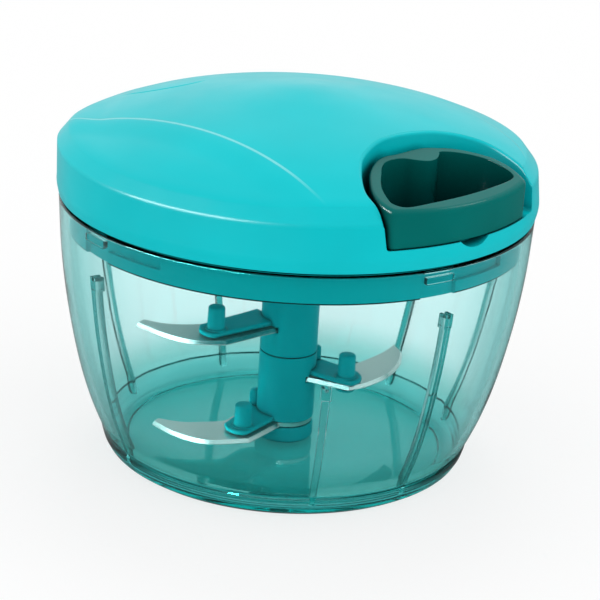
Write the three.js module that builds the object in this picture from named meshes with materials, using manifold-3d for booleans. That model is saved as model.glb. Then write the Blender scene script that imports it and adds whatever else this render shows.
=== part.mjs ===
// Pull-cord food chopper: a clear bowl, three blades on a hub, and a domed lid that holds a cord reel.
// Millimetres, +Z up. The origin is at the centre of the foot, on the surface that the bowl stands on.
// An azimuth is 0 towards -Y and grows towards +X.
import * as THREE from "three";
import { mergeVertices } from "three/addons/utils/BufferGeometryUtils.js";
import Module from "manifold-3d";

const wasm = await Module();
wasm.setup();

// Driving dimensions of the whole chopper.
const lid_radius = 61;
const bowl_height = 67.4;
const lid_wall_height = 11.3;
const dome_rise = 16.6;
const cover_wall = 2.2;
const bowl_wall = 2;
const bowl_rim_inset = 0.7;
const lid_shadow_gap = 0.9;

// Clearances: between fixed pieces, and round pieces that turn or slide.
const seat_gap = 0.3;
const run_gap = 0.3;
const cut_overrun = 3;
const join_depth = 0.3;
const weld_distance = 0.0001;

// Facets round a turned piece, and along curved outlines.
const round_facets = 48;
const inner_facets = 36;
const small_facets = 20;
const outline_steps = 32;
const fillet_steps = 3;

// Bowl: foot, floor, ribs and the lugs that hold the lid.
const foot_height = 6;
const foot_radius_share = 0.73;
const foot_rim = 3;
const foot_recess = 0.6;
const foot_chamfer = 0.6;
const foot_step = 0.8;
const floor_thickness = 1.6;
const floor_fillet = 6;
const rim_radius = lid_radius - bowl_rim_inset;
const foot_radius = rim_radius * foot_radius_share;
const floor_z = foot_recess + floor_thickness;
const bowl_height_shares = [0.089, 0.148, 0.237, 0.356, 0.504, 0.653, 0.801, 0.95, 1];
const bowl_radius_shares = [0.809, 0.834, 0.867, 0.904, 0.94, 0.968, 0.987, 0.997, 1];
const foot_curve_shares = [[0.6, 0.2], [0.85, 0.55], [1, 0.92]];

const rib_width = 2.4;
const rib_depth = 2;
const rib_root = 1;
const rib_head_height = 3.4;
const rib_head_grow = 0.4;
const rib_steps = 5;
const rib_foot_share = 0.05;
const rib_top_share = 0.81;
const short_rib_top_share = 0.565;
const rib_azimuths = [-55, 40, 105, 140, -156, -112];
const short_rib_azimuths = [10];

const lug_azimuths = [-54, 36, 126, 216];
const lug_half_angle = 4;
const lug_depth = 1.2;
const lug_root = 0.6;
const lug_height = 1.8;
const lug_below_rim = 3.8;

// Pin that the blade unit turns on, in a boss on the bowl's floor.
const boss_radius = 4;
const boss_height = 6.1;
const pin_radius = 2.2;
const pin_end_gap = 0.6;
const pin_socket_depth = 6.6;

// Blade unit: stacked sleeves on a core, with a top socket for the drive.
const hub_radius = 7.5;
const hub_lip = 0.8;
const core_radius = 4;
const blade_thickness = 1;
const hub_head_gap = 1;
const lower_blade_share = 0.104;
const middle_blade_share = 0.288;
const upper_blade_share = 0.49;
const upper_sleeve_share = 0.393;
const socket_depth = 9.2;
const dog_radius = 4.6;
const dog_sides = 6;
const dog_height = 8.5;
const bush_length = 9.7;

const blade_width_front = 3;
const blade_width_back = 8.8;
const blade_root = 1;
const blade_root_tail = 6.5;
const slot_back = 12;
const arm_thickness = 1.3;
const arm_front = 1.5;
const arm_back = 8;
const arm_root = 4.6;
const peg_radius = 2.35;
const arm_end_shares = [[0, -0.74], [0.6, -0.72], [0.95, -0.3], [1, 0.3], [0.85, 0.8], [0.4, 1.3]];
const peg_taper = 0.2;
const peg_height = 7.5;
const rivet_radius = 1.5;
const rivet_head_radius = 2.3;
const rivet_head_height = 0.8;
const fin_thickness = 2;
const fin_reach = 2;
const fin_height = 5.5;

// Each blade's azimuth and the side that it sweeps to. Its reach is a share of the lid's radius, and its
// outline is in shares of the reach, along the arm and across it, from the front corner round the tip.
const upper_blade = {
  azimuth: -48.7,
  side: -1,
  base_share: upper_blade_share,
  reach_share: 0.656,
  edge_shares: [[0.583, -0.075], [0.762, 0.063], [0.842, 0.252], [0.875, 0.485]],
  back_shares: [[0.8, 0.51], [0.712, 0.37], [0.533, 0.25], [0.317, 0.22]],
  peg_shares: [0.57, 0.055],
};
const middle_blade = {
  azimuth: 67.6,
  side: 1,
  base_share: middle_blade_share,
  reach_share: 0.59,
  edge_shares: [[0.517, -0.083], [0.611, 0.067], [0.678, 0.306], [0.672, 0.553], [0.611, 0.772]],
  back_shares: [[0.514, 0.847], [0.492, 0.653], [0.397, 0.353], [0.3, 0.244]],
  peg_shares: [0.464, -0.008],
};
const lower_blade = {
  azimuth: -33.1,
  side: -1,
  base_share: lower_blade_share,
  reach_share: 0.59,
  edge_shares: [[0.558, -0.083], [0.78, 0.139], [0.819, 0.397], [0.769, 0.625]],
  back_shares: [[0.697, 0.628], [0.625, 0.444], [0.43, 0.26], [0.33, 0.244]],
  peg_shares: [0.48, 0.036],
};
const lower_fin_azimuth = -99;
const middle_fin_azimuth = 120;

// Lid cover: dome, wall and the recess that the handle lies in.
const lid_edge_inset = 0.6;
const lid_widest_share = 0.24;
const crease_inset = 1;
const dome_radius_shares = [1, 0.95, 0.867, 0.75, 0.583, 0.333, 0.16, 0];
const dome_rise_shares = [0, 0.223, 0.361, 0.512, 0.669, 0.837, 0.945, 1];
const rabbet_height = 1.5;
const pull_azimuth = 44;
const recess_floor_height = 5.4;
const recess_floor = 2;
const recess_wall = 2;
const recess_middle_share = 0.8;
const recess_shares = [
  [1.15, -0.47], [0.885, -0.403], [0.754, -0.376], [0.625, -0.27], [0.564, -0.172],
  [0.528, -0.074], [0.518, 0.033], [0.523, 0.143], [0.538, 0.236], [0.574, 0.328],
  [0.631, 0.405], [0.721, 0.446], [0.897, 0.462], [1.15, 0.52],
];
const scoop_width = 9.5;
const scoop_depth = 1.9;
const scoop_reach = 6;

// Pull handle: a closed ring whose front follows the lid's wall and whose top slopes up to the axis.
const handle_front_inset = 0.6;
const handle_front_height = 8.2;
const handle_slope = 0.22;
const handle_outer_shares = [
  [0.913, -0.383], [0.867, -0.39], [0.81, -0.376], [0.749, -0.342], [0.692, -0.296],
  [0.644, -0.249], [0.602, -0.193], [0.57, -0.133], [0.557, -0.075], [0.561, -0.03],
  [0.558, 0.015], [0.556, 0.075], [0.557, 0.135], [0.575, 0.185], [0.592, 0.23],
  [0.611, 0.266], [0.639, 0.298], [0.666, 0.325], [0.698, 0.351], [0.73, 0.37],
  [0.774, 0.38], [0.821, 0.384], [0.88, 0.375], [0.92, 0.362],
];
const handle_inner_shares = [
  [0.935, -0.31], [0.885, -0.342], [0.828, -0.331], [0.77, -0.3], [0.721, -0.261],
  [0.672, -0.21], [0.634, -0.17], [0.606, -0.123], [0.598, -0.07], [0.607, -0.02],
  [0.634, 0.02], [0.655, 0.057], [0.66, 0.09], [0.652, 0.123], [0.63, 0.158],
  [0.616, 0.178], [0.636, 0.23], [0.675, 0.284], [0.726, 0.326], [0.787, 0.344],
  [0.861, 0.343], [0.912, 0.311], [0.94, 0.164], [0.951, 0], [0.946, -0.18],
];
const front_arc_half_angle = 20.5;
const front_arc_steps = 8;

// Cord, its eye in the recess wall and its knot in the handle.
const cord_radius = 1.1;
const cord_sides = 8;
const cord_offset_share = 0.09;
const eye_radius = 3.2;
const eye_flange_radius = 4.2;
const eye_flange = 0.9;
const eye_bore_gap = 0.5;
const knot_radius = 1.7;
const knot_pocket_gap = 0.4;
const knot_share = 0.608;
const knot_rings = 8;

// Lid base: plate, skirt and flange, the bearing and the bayonet slots.
const skirt_gap = 0.4;
const skirt_wall = 2.4;
const skirt_height = 6.8;
const flange_overlap = 1.9;
const plate_lift = 0.6;
const plate_thickness = 2.5;
const bearing_radius = 8.4;
const bearing_above = 2;
const bearing_below = 2;
const shaft_radius = 5.2;
const bush_wall = 0.8;
const bush_flange = 1;
const bush_flange_reach = 1.7;
const slot_depth = 1.5;
const slot_half_angle = 5;
const slot_run_angle = 22;
const slot_play = 0.4;

// Screws that hold the base to the cover.
const screw_azimuths = [134, 224, 314];
const screw_circle_share = 0.8;
const screw_radius = 1.5;
const screw_head_radius = 3.1;
const screw_head_height = 2.2;
const screw_head_depth = 0.3;
const screw_length = 13;
const screw_slot = 0.8;
const screw_slot_depth = 1;
const screw_pad_radius = 5.2;
const screw_pad_height = 2;
const screw_post_radius = 4;

// Reel, its recoil spring and the spindle that drives the hub.
const reel_play = 3.6;
const drum_share = 0.615;
const drum_wall = 2;
const reel_flange = 1.7;
const reel_groove = 8;
const reel_web = 2;
const axle_radius = 3;
const reel_boss_wall = 1.7;
const collar_radius = 7.6;
const collar_height = 2.4;
const disc_radius = 11;
const disc_thickness = 2.7;
const key_radius = 1.5;
const key_height = 1.6;
const key_circle = 8.5;
const key_count = 3;
const cap_thickness = 1;
const cap_rim_height = 1.2;
const cap_rim_wall = 0.9;
const spring_strip = 0.5;
const spring_turns = 5;
const spring_steps_per_turn = 16;
const axle_boss_radius = 6.5;
const axle_seat = 5;

// Heights that follow from the sizes above.
const boss_top_z = floor_z + boss_height;
const bush_z = boss_top_z + run_gap;
const core_z = bush_z + bush_length + seat_gap;
const lid_edge_z = bowl_height + lid_shadow_gap;
const crease_z = lid_edge_z + lid_wall_height;
const lid_edge_radius = lid_radius - lid_edge_inset;
const crease_radius = lid_radius - crease_inset;
const recess_z = lid_edge_z + recess_floor_height;
const flange_z = bowl_height + seat_gap;
const skirt_bottom_z = flange_z - skirt_height;
const plate_z = skirt_bottom_z + plate_lift;
const plate_top_z = plate_z + plate_thickness;
const bearing_top_z = plate_top_z + bearing_above;
const bearing_bottom_z = plate_z - bearing_below;
const hub_top_z = bearing_bottom_z - hub_head_gap;
const socket_z = hub_top_z - socket_depth;
const upper_sleeve_z = bowl_height * upper_sleeve_share;
const bush_top_z = bearing_top_z + seat_gap + bush_flange;
const collar_z = bush_top_z + run_gap;
const disc_z = collar_z + collar_height;
const disc_top_z = disc_z + disc_thickness;
const reel_z = disc_top_z + seat_gap;
const groove_z = reel_z + reel_web;
const groove_top_z = groove_z + reel_groove;
const reel_top_z = groove_top_z + reel_flange;
const cap_z = reel_top_z + seat_gap;
const cap_top_z = cap_z + cap_thickness;
const axle_boss_z = cap_top_z + run_gap;
const cord_z = (groove_z + groove_top_z) / 2;
const crown_z = crease_z + dome_rise;
const handle_z = recess_z + run_gap;

// Radii and places that follow from the sizes above.
const hub_bore = core_radius + seat_gap;
const screw_circle = lid_radius * screw_circle_share;
const handle_radius = lid_radius - handle_front_inset;
const recess_back = Math.min(...recess_shares.map(([out]) => out)) * lid_radius;
const reel_radius = recess_back - recess_wall - reel_play;
const drum_radius = reel_radius * drum_share;
const winding_radius = drum_radius + seat_gap + 2 * cord_radius;
const cord_offset = lid_radius * cord_offset_share;
const knot_place = lid_radius * knot_share;

const degrees = THREE.MathUtils.degToRad;

// A point at an azimuth and a radius.
function at(azimuth, radius) {
  const a = degrees(azimuth);
  return new THREE.Vector2(radius * Math.sin(a), -radius * Math.cos(a));
}

// The turn about +Z that brings +X to an azimuth.
function turnTo(azimuth) {
  return degrees(azimuth) - Math.PI / 2;
}

// A three.js geometry as a manifold-3d solid with its faces pointing out.
function solid(geometry) {
  const bare = geometry.index ? geometry.toNonIndexed() : geometry.clone();
  bare.deleteAttribute("normal");
  bare.deleteAttribute("uv");
  const merged = mergeVertices(bare, weld_distance);
  const vertProperties = merged.attributes.position.array;
  const triVerts = new Uint32Array(merged.index.array);
  const made = new wasm.Manifold(new wasm.Mesh({ numProp: 3, vertProperties, triVerts }));
  if (made.volume() >= 0) return made;
  const flipped = triVerts.slice();
  for (let i = 0; i < flipped.length; i += 3) {
    [flipped[i + 1], flipped[i + 2]] = [flipped[i + 2], flipped[i + 1]];
  }
  return new wasm.Manifold(new wasm.Mesh({ numProp: 3, vertProperties, triVerts: flipped }));
}

// A closed profile of [radius, height] pairs turned about +Z.
function turned(profile, facets = round_facets) {
  const points = profile.map(([r, z]) => new THREE.Vector2(r, z));
  const first = profile[0];
  const last = profile[profile.length - 1];
  if (first[0] > 0 || last[0] > 0) points.push(points[0].clone());
  return solid(new THREE.LatheGeometry(points, facets).rotateX(Math.PI / 2));
}

// A round bar between two heights.
function bar(radius, low, high, facets = small_facets, top_radius = radius) {
  const geometry = new THREE.CylinderGeometry(top_radius, radius, high - low, facets);
  geometry.rotateX(Math.PI / 2).translate(0, 0, (low + high) / 2);
  return solid(geometry);
}

// An outline of [x, y] pairs raised between two heights and turned about +Z.
function plate(outline, low, high, turn = 0) {
  const shape = new THREE.Shape(outline.map(([x, y]) => new THREE.Vector2(x, y)));
  const geometry = new THREE.ExtrudeGeometry(shape, { depth: high - low, bevelEnabled: false });
  return solid(geometry.translate(0, 0, low).rotateZ(turn));
}

// A sector of a ring between two heights and two azimuths.
function sector(inner, outer, low, high, from, to) {
  const steps = Math.max(2, Math.ceil((to - from) / (360 / round_facets)));
  const outline = [];
  for (let i = 0; i <= steps; i++) {
    const p = at(from + ((to - from) * i) / steps, outer);
    outline.push([p.x, p.y]);
  }
  for (let i = steps; i >= 0; i--) {
    const p = at(from + ((to - from) * i) / steps, inner);
    outline.push([p.x, p.y]);
  }
  return plate(outline, low, high);
}

// A smooth line through points, given as [x, y] pairs.
function smooth(points, steps, closed = false) {
  const curve = new THREE.CatmullRomCurve3(points.map(([x, y]) => new THREE.Vector3(x, y, 0)), closed);
  const made = curve.getPoints(steps).map((p) => [p.x, p.y]);
  return closed ? made.slice(0, -1) : made;
}

function scaled(shares, size) {
  return shares.map(([a, b]) => [a * size, b * size]);
}

// A straight stretch of cord between two points.
function cordStretch(from, to) {
  const section = new THREE.Shape(
    Array.from({ length: cord_sides }, (_, i) => {
      const a = (2 * Math.PI * i) / cord_sides;
      return new THREE.Vector2(cord_radius * Math.cos(a), cord_radius * Math.sin(a));
    }),
  );
  const path = new THREE.LineCurve3(from, to);
  return solid(new THREE.ExtrudeGeometry(section, { steps: 1, bevelEnabled: false, extrudePath: path }));
}

// A point in the handle's own frame: outwards along the pull, and across it.
function pullPoint(out, across, z) {
  return new THREE.Vector3(out, across, z).applyAxisAngle(new THREE.Vector3(0, 0, 1), turnTo(pull_azimuth));
}

// Radius of the bowl's outer wall at a height.
function bowlOuter(z) {
  const share = z / bowl_height;
  const last = bowl_height_shares.length - 1;
  let i = 0;
  while (i < last - 1 && share > bowl_height_shares[i + 1]) i++;
  const low = bowl_height_shares[i];
  const part = (share - low) / (bowl_height_shares[i + 1] - low);
  return rim_radius * THREE.MathUtils.lerp(bowl_radius_shares[i], bowl_radius_shares[i + 1], part);
}

function bowlInner(z) {
  return bowlOuter(z) - bowl_wall;
}

function bowlShell() {
  const foot_top_radius = bowlOuter(foot_height) - foot_step;
  const profile = [
    [0, foot_recess],
    [foot_radius - foot_rim, foot_recess],
    [foot_radius - foot_rim + foot_chamfer, 0],
    [foot_radius, 0],
  ];
  for (const [out, up] of foot_curve_shares) {
    profile.push([THREE.MathUtils.lerp(foot_radius, foot_top_radius, out), foot_height * up]);
  }
  const outer = bowl_height_shares.map((share) => share * bowl_height).filter((z) => z > foot_height);
  profile.push([bowlOuter(foot_height), foot_height]);
  for (const z of outer) profile.push([bowlOuter(z), z]);
  const fillet_top = floor_z + floor_fillet;
  for (const z of outer.slice().reverse()) {
    if (z > fillet_top) profile.push([bowlInner(z), z]);
  }
  const centre = bowlInner(fillet_top) - floor_fillet;
  for (let i = 0; i <= fillet_steps; i++) {
    const a = ((Math.PI / 2) * i) / fillet_steps;
    profile.push([centre + floor_fillet * Math.cos(a), fillet_top - floor_fillet * Math.sin(a)]);
  }
  profile.push([0, floor_z]);
  return turned(profile);
}

// A rib that follows the inside of the wall, with a small square head.
function rib(azimuth, top_share) {
  const low = bowl_height * rib_foot_share;
  const high = bowl_height * top_share;
  const outline = [];
  for (let i = 0; i <= rib_steps; i++) {
    const z = THREE.MathUtils.lerp(low, high, i / rib_steps);
    outline.push([bowlInner(z) + rib_root, z]);
  }
  for (let i = rib_steps; i >= 0; i--) {
    const z = THREE.MathUtils.lerp(low, high, i / rib_steps);
    outline.push([bowlInner(z) - rib_depth, z]);
  }
  const head_low = high - rib_head_height;
  const head = [
    [bowlInner(high) + rib_root, head_low],
    [bowlInner(high) + rib_root, high],
    [bowlInner(high) - rib_depth - rib_head_grow, high],
    [bowlInner(head_low) - rib_depth - rib_head_grow, head_low],
  ];
  return upright(outline, rib_width, azimuth).add(upright(head, rib_width + rib_head_grow, azimuth));
}

// An outline of [radius, height] pairs as an upright slab at an azimuth.
function upright(outline, width, azimuth) {
  const shape = new THREE.Shape(outline.map(([r, z]) => new THREE.Vector2(r, z)));
  const geometry = new THREE.ExtrudeGeometry(shape, { depth: width, bevelEnabled: false });
  geometry.translate(0, 0, -width / 2).rotateX(Math.PI / 2).rotateZ(turnTo(azimuth));
  return solid(geometry);
}

function bowl() {
  let made = bowlShell();
  for (const azimuth of rib_azimuths) made = made.add(rib(azimuth, rib_top_share));
  for (const azimuth of short_rib_azimuths) made = made.add(rib(azimuth, short_rib_top_share));
  const lug_top = bowl_height - lug_below_rim + lug_height;
  const lug_low = bowl_height - lug_below_rim;
  for (const azimuth of lug_azimuths) {
    const inner = bowlInner(lug_low) - lug_depth;
    const outer = bowlInner(lug_low) + lug_root;
    const from = azimuth - lug_half_angle;
    made = made.add(sector(inner, outer, lug_low, lug_top, from, azimuth + lug_half_angle));
  }
  made = made.add(bar(boss_radius, floor_z - floor_thickness / 2, boss_top_z));
  return made.subtract(bar(pin_radius + seat_gap, boss_top_z - pin_socket_depth, boss_top_z + cut_overrun));
}

function pivotPin() {
  return bar(pin_radius, boss_top_z - pin_socket_depth + seat_gap, core_z - pin_end_gap);
}

// A sleeve of the hub.
function sleeve(low, high) {
  return turned([
    [hub_bore, low],
    [hub_radius - hub_lip / 2, low],
    [hub_radius, low + hub_lip / 2],
    [hub_radius, high - hub_lip / 2],
    [hub_radius - hub_lip / 2, high],
    [hub_bore, high],
  ], small_facets);
}

// A place along a blade's arm and to its swept side, as a local point.
function bladePoint(shape, along, across) {
  return [along, across * shape.side];
}

// How far along its arm a blade's peg stands, and how far to its swept side.
function pegPlace(shape) {
  return shape.peg_shares.map((share) => share * bladeReach(shape));
}

function bladeReach(shape) {
  return shape.reach_share * lid_radius;
}

function bladeLow(shape) {
  return shape.base_share * bowl_height;
}

function armLow(shape) {
  return bladeLow(shape) + blade_thickness + seat_gap;
}

// Moves a solid made on +Z to a blade's peg.
function toPeg(shape, made) {
  const [x, y] = bladePoint(shape, ...pegPlace(shape));
  return made.translate([x, y, 0]).rotate([0, 0, THREE.MathUtils.radToDeg(turnTo(shape.azimuth))]);
}

function blade(shape) {
  const edge = smooth(scaled(shape.edge_shares, bladeReach(shape)), outline_steps / 2);
  const back = smooth(scaled(shape.back_shares, bladeReach(shape)), outline_steps / 2);
  const outline = [[blade_root, -blade_width_front]]
    .concat(edge, back, [[blade_root_tail, blade_width_back], [blade_root, hub_bore]])
    .map(([along, across]) => bladePoint(shape, along, across));
  const low = bladeLow(shape);
  const high = low + blade_thickness;
  return plate(outline, low, high, turnTo(shape.azimuth))
    .subtract(bar(hub_bore, low - cut_overrun, high + cut_overrun))
    .subtract(toPeg(shape, bar(rivet_radius + seat_gap, low - cut_overrun, high + cut_overrun)));
}

// The lowest blade also has a ring round the core.
function lowerBlade() {
  const low = bladeLow(lower_blade);
  const high = low + blade_thickness;
  const ring_radius = hub_radius - hub_lip / 2;
  const ring = turned([[hub_bore, low], [ring_radius, low], [ring_radius, high], [hub_bore, high]], small_facets);
  return blade(lower_blade).add(ring);
}

// The plastic arm on a blade, with the peg that stands on it and the rivet under it.
function bladeArm(shape) {
  const low = armLow(shape);
  const high = low + arm_thickness;
  const [along, across] = pegPlace(shape);
  const corner = peg_radius + arm_thickness;
  const end = arm_end_shares.map(([a, b]) => [along + corner * a, across + corner * b]);
  const outline = [[arm_root, -arm_front]]
    .concat(end, [[arm_root, arm_back]])
    .map(([x, y]) => bladePoint(shape, x, y));
  const rivet_top = bladeLow(shape) - seat_gap;
  const rivet_low = rivet_top - rivet_head_height;
  const peg = bar(peg_radius, low, low + peg_height, small_facets, peg_radius - peg_taper)
    .add(bar(rivet_radius, rivet_low, high))
    .add(bar(rivet_head_radius, rivet_low, rivet_top));
  return plate(outline, low, high, turnTo(shape.azimuth)).add(toPeg(shape, peg));
}

// The upright fin that stiffens an arm against the hub.
function fin(azimuth, low) {
  const outline = [
    [hub_bore + hub_lip, -fin_thickness / 2],
    [hub_radius + fin_reach, -fin_thickness / 2],
    [hub_radius + fin_reach, fin_thickness / 2],
    [hub_bore + hub_lip, fin_thickness / 2],
  ];
  return plate(outline, low, low + fin_height, turnTo(azimuth));
}

// The slot that a blade's root lies in.
function bladeSlot(shape) {
  const low = bladeLow(shape) - seat_gap;
  const high = armLow(shape);
  const outline = [
    [blade_root - seat_gap, -blade_width_front - seat_gap],
    [hub_radius + cut_overrun, -blade_width_front - seat_gap],
    [hub_radius + cut_overrun, slot_back],
    [blade_root - seat_gap, slot_back],
  ].map(([x, y]) => bladePoint(shape, x, y));
  return plate(outline, low, high, turnTo(shape.azimuth));
}

function hubFoot() {
  return sleeve(floor_z + run_gap, bladeLow(lower_blade) - seat_gap);
}

function hubLower() {
  const low = armLow(lower_blade);
  const high = upper_sleeve_z - seat_gap;
  const bore = bar(hub_bore, low - cut_overrun, upper_sleeve_z);
  return sleeve(low, high)
    .subtract(bladeSlot(middle_blade))
    .add(bladeArm(lower_blade).subtract(bore))
    .add(bladeArm(middle_blade).subtract(bore))
    .add(fin(lower_fin_azimuth, low))
    .add(fin(middle_fin_azimuth, armLow(middle_blade)));
}

function hubUpper() {
  const bore = bar(hub_bore, upper_sleeve_z, hub_top_z);
  const socket_radius = dog_radius + run_gap / Math.cos(Math.PI / dog_sides);
  return sleeve(upper_sleeve_z, hub_top_z)
    .subtract(bladeSlot(upper_blade))
    .add(bladeArm(upper_blade).subtract(bore))
    .subtract(bar(socket_radius, socket_z, hub_top_z + cut_overrun, dog_sides));
}

function hubBush() {
  const bore = pin_radius + run_gap;
  const high = bush_z + bush_length;
  return turned([[bore, bush_z], [core_radius, bush_z], [core_radius, high], [bore, high]], small_facets);
}

function hubCore() {
  return bar(core_radius, core_z, socket_z - seat_gap);
}

// Outline of the lid's outer surface, from its edge to its crown.
function lidSurface(inset) {
  const profile = [
    [lid_edge_radius - inset, lid_edge_z],
    [lid_radius - inset, lid_edge_z + lid_wall_height * lid_widest_share],
  ];
  dome_radius_shares.forEach((share, i) => {
    const radius = Math.max(0, (crease_radius - inset) * share);
    profile.push([radius, crease_z - inset + dome_rise * dome_rise_shares[i]]);
  });
  return profile;
}

function filled(profile, base) {
  return turned([[0, base]].concat([[profile[0][0], base]], profile));
}

// The room over the handle's recess, from a height up, with its sides moved out by a distance.
function recessBlock(grow, low) {
  const middle = lid_radius * recess_middle_share;
  const outline = smooth(scaled(recess_shares, lid_radius), outline_steps).map(([u, w]) => {
    const away = new THREE.Vector2(u - middle, w);
    const grown = away.setLength(away.length() + grow);
    return [middle + grown.x, grown.y];
  });
  return plate(outline, low, crown_z + cut_overrun, turnTo(pull_azimuth));
}

// The finger scoop in the recess's ledge.
function scoop() {
  const half = scoop_width / 2;
  const radius = (half * half + scoop_depth * scoop_depth) / (2 * scoop_depth);
  const geometry = new THREE.CylinderGeometry(radius, radius, scoop_reach, small_facets);
  const place = pullPoint(lid_radius, 0, recess_z - scoop_depth + radius);
  geometry.rotateZ(Math.PI / 2).rotateZ(turnTo(pull_azimuth)).translate(place.x, place.y, place.z);
  return solid(geometry);
}

// A round bar along the pull direction, at the cord's place.
function alongCord(radius, from, to) {
  const geometry = new THREE.CylinderGeometry(radius, radius, to - from, small_facets);
  geometry.rotateZ(Math.PI / 2).translate((from + to) / 2, cord_offset, cord_z);
  return solid(geometry.rotateZ(turnTo(pull_azimuth)));
}

function lidCover() {
  const outside = filled(lidSurface(0), lid_edge_z);
  const rabbet_radius = flangeRadius() + seat_gap;
  const rabbet = bar(rabbet_radius, lid_edge_z - cut_overrun, flange_z + rabbet_height + seat_gap, round_facets);
  const inside = filled(lidSurface(cover_wall), lid_edge_z - cut_overrun)
    .subtract(recessBlock(recess_wall, recess_z - recess_floor));
  let made = outside.subtract(inside).subtract(rabbet).subtract(recessBlock(0, recess_z)).subtract(scoop());
  const post_z = plate_top_z + screw_pad_height + seat_gap;
  for (const azimuth of screw_azimuths) {
    const { x, y } = at(azimuth, screw_circle);
    const post = bar(screw_post_radius, post_z, crown_z).translate([x, y, 0]);
    made = made.add(post.intersect(filled(lidSurface(0), post_z)));
  }
  made = made.add(bar(axle_boss_radius, axle_boss_z, crown_z - cover_wall / 2));
  for (const azimuth of screw_azimuths) {
    const { x, y } = at(azimuth, screw_circle);
    const depth = screw_length + 2 * seat_gap;
    made = made.subtract(bar(screw_radius + seat_gap, post_z - cut_overrun, post_z + depth).translate([x, y, 0]));
  }
  made = made.subtract(bar(axle_radius + seat_gap, axle_boss_z - cut_overrun, axle_boss_z + axle_seat + seat_gap));
  const eye_from = recess_back - recess_wall - cut_overrun;
  return made
    .subtract(alongCord(eye_radius + seat_gap, eye_from, recess_back + cut_overrun))
    .subtract(alongCord(eye_flange_radius + seat_gap, recess_back, recess_back + cut_overrun));
}

function skirtRadius() {
  return bowlInner(skirt_bottom_z) - skirt_gap;
}

function flangeRadius() {
  return skirtRadius() + flange_overlap;
}

function lidBase() {
  const outer = skirtRadius();
  const inner = outer - skirt_wall;
  const bore = shaft_radius + run_gap + bush_wall + seat_gap;
  const flange_top = flange_z + rabbet_height;
  let made = turned([
    [bore, bearing_bottom_z],
    [bearing_radius, bearing_bottom_z],
    [bearing_radius, plate_z],
    [inner, plate_z],
    [inner, skirt_bottom_z],
    [outer, skirt_bottom_z],
    [outer, flange_z],
    [flangeRadius(), flange_z],
    [flangeRadius(), flange_top],
    [inner, flange_top],
    [inner, plate_top_z],
    [bearing_radius, plate_top_z],
    [bearing_radius, bearing_top_z],
    [bore, bearing_top_z],
  ], inner_facets);
  const pad_top = plate_top_z + screw_pad_height;
  const head_top = plate_z + screw_head_depth + screw_head_height + seat_gap;
  for (const azimuth of screw_azimuths) {
    const { x, y } = at(azimuth, screw_circle);
    const pad = bar(screw_pad_radius, plate_z, pad_top).translate([x, y, 0]);
    const hole = bar(screw_radius + seat_gap, plate_z, pad_top + cut_overrun)
      .add(bar(screw_head_radius + seat_gap, plate_z - cut_overrun, head_top))
      .translate([x, y, 0]);
    made = made.add(pad).subtract(hole);
  }
  for (const azimuth of lug_azimuths) made = made.subtract(bayonetSlot(azimuth));
  return made;
}

// The slot that a bowl lug enters and then turns along.
function bayonetSlot(azimuth) {
  const outer = skirtRadius() + cut_overrun / 2;
  const inner = skirtRadius() - slot_depth;
  const lug_low = bowl_height - lug_below_rim;
  const top = lug_low + lug_height + slot_play;
  const from = azimuth - slot_half_angle;
  const entry = sector(inner, outer, skirt_bottom_z - cut_overrun, top, from, azimuth + slot_half_angle);
  return entry.add(sector(inner, outer, lug_low - slot_play, top, from, azimuth + slot_run_angle));
}

function driveBush() {
  const inner = shaft_radius + run_gap;
  const outer = inner + bush_wall;
  const flange_low = bearing_top_z + seat_gap;
  return turned([
    [inner, bearing_bottom_z],
    [outer, bearing_bottom_z],
    [outer, flange_low],
    [outer + bush_flange_reach, flange_low],
    [outer + bush_flange_reach, bush_top_z],
    [inner, bush_top_z],
  ], small_facets);
}

function lidScrew(azimuth) {
  const low = plate_z + screw_head_depth;
  const head_top = low + screw_head_height;
  const { x, y } = at(azimuth, screw_circle);
  const slot = new THREE.BoxGeometry(2 * screw_head_radius + cut_overrun, screw_slot, 2 * screw_slot_depth);
  const across = solid(slot.translate(0, 0, low));
  return turned([
    [0, low],
    [screw_head_radius, low],
    [screw_head_radius, head_top],
    [screw_radius, head_top],
    [screw_radius, low + screw_length],
    [0, low + screw_length + screw_radius],
  ], small_facets).subtract(across).translate([x, y, 0]);
}

function driveSpindle() {
  const dog_low = hub_top_z - dog_height;
  const shaft_low = hub_top_z + run_gap;
  let made = bar(dog_radius, dog_low, shaft_low + join_depth, dog_sides)
    .add(bar(shaft_radius, shaft_low, disc_z + join_depth))
    .add(bar(collar_radius, collar_z, disc_z + join_depth))
    .add(bar(disc_radius, disc_z, disc_top_z));
  for (const { x, y } of keyPlaces()) {
    made = made.add(bar(key_radius, disc_z, disc_top_z + key_height).translate([x, y, 0]));
  }
  return made.subtract(bar(axle_radius + run_gap, collar_z - collar_height, disc_top_z + cut_overrun));
}

function keyPlaces() {
  return Array.from({ length: key_count }, (_, i) => at((360 * i) / key_count, key_circle));
}

function cordReel() {
  const bore = axle_radius + run_gap;
  const boss = bore + reel_boss_wall;
  const chamber = drum_radius - drum_wall;
  let made = turned([
    [bore, reel_z],
    [reel_radius, reel_z],
    [reel_radius, groove_z],
    [drum_radius, groove_z],
    [drum_radius, groove_top_z],
    [reel_radius, groove_top_z],
    [reel_radius, reel_top_z],
    [chamber, reel_top_z],
    [chamber, groove_z],
    [boss, groove_z],
    [boss, groove_top_z],
    [bore, groove_top_z],
  ], inner_facets);
  for (const { x, y } of keyPlaces()) {
    const hole = bar(key_radius + seat_gap, reel_z - cut_overrun, groove_z + cut_overrun);
    made = made.subtract(hole.translate([x, y, 0]));
  }
  return made;
}

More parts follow.
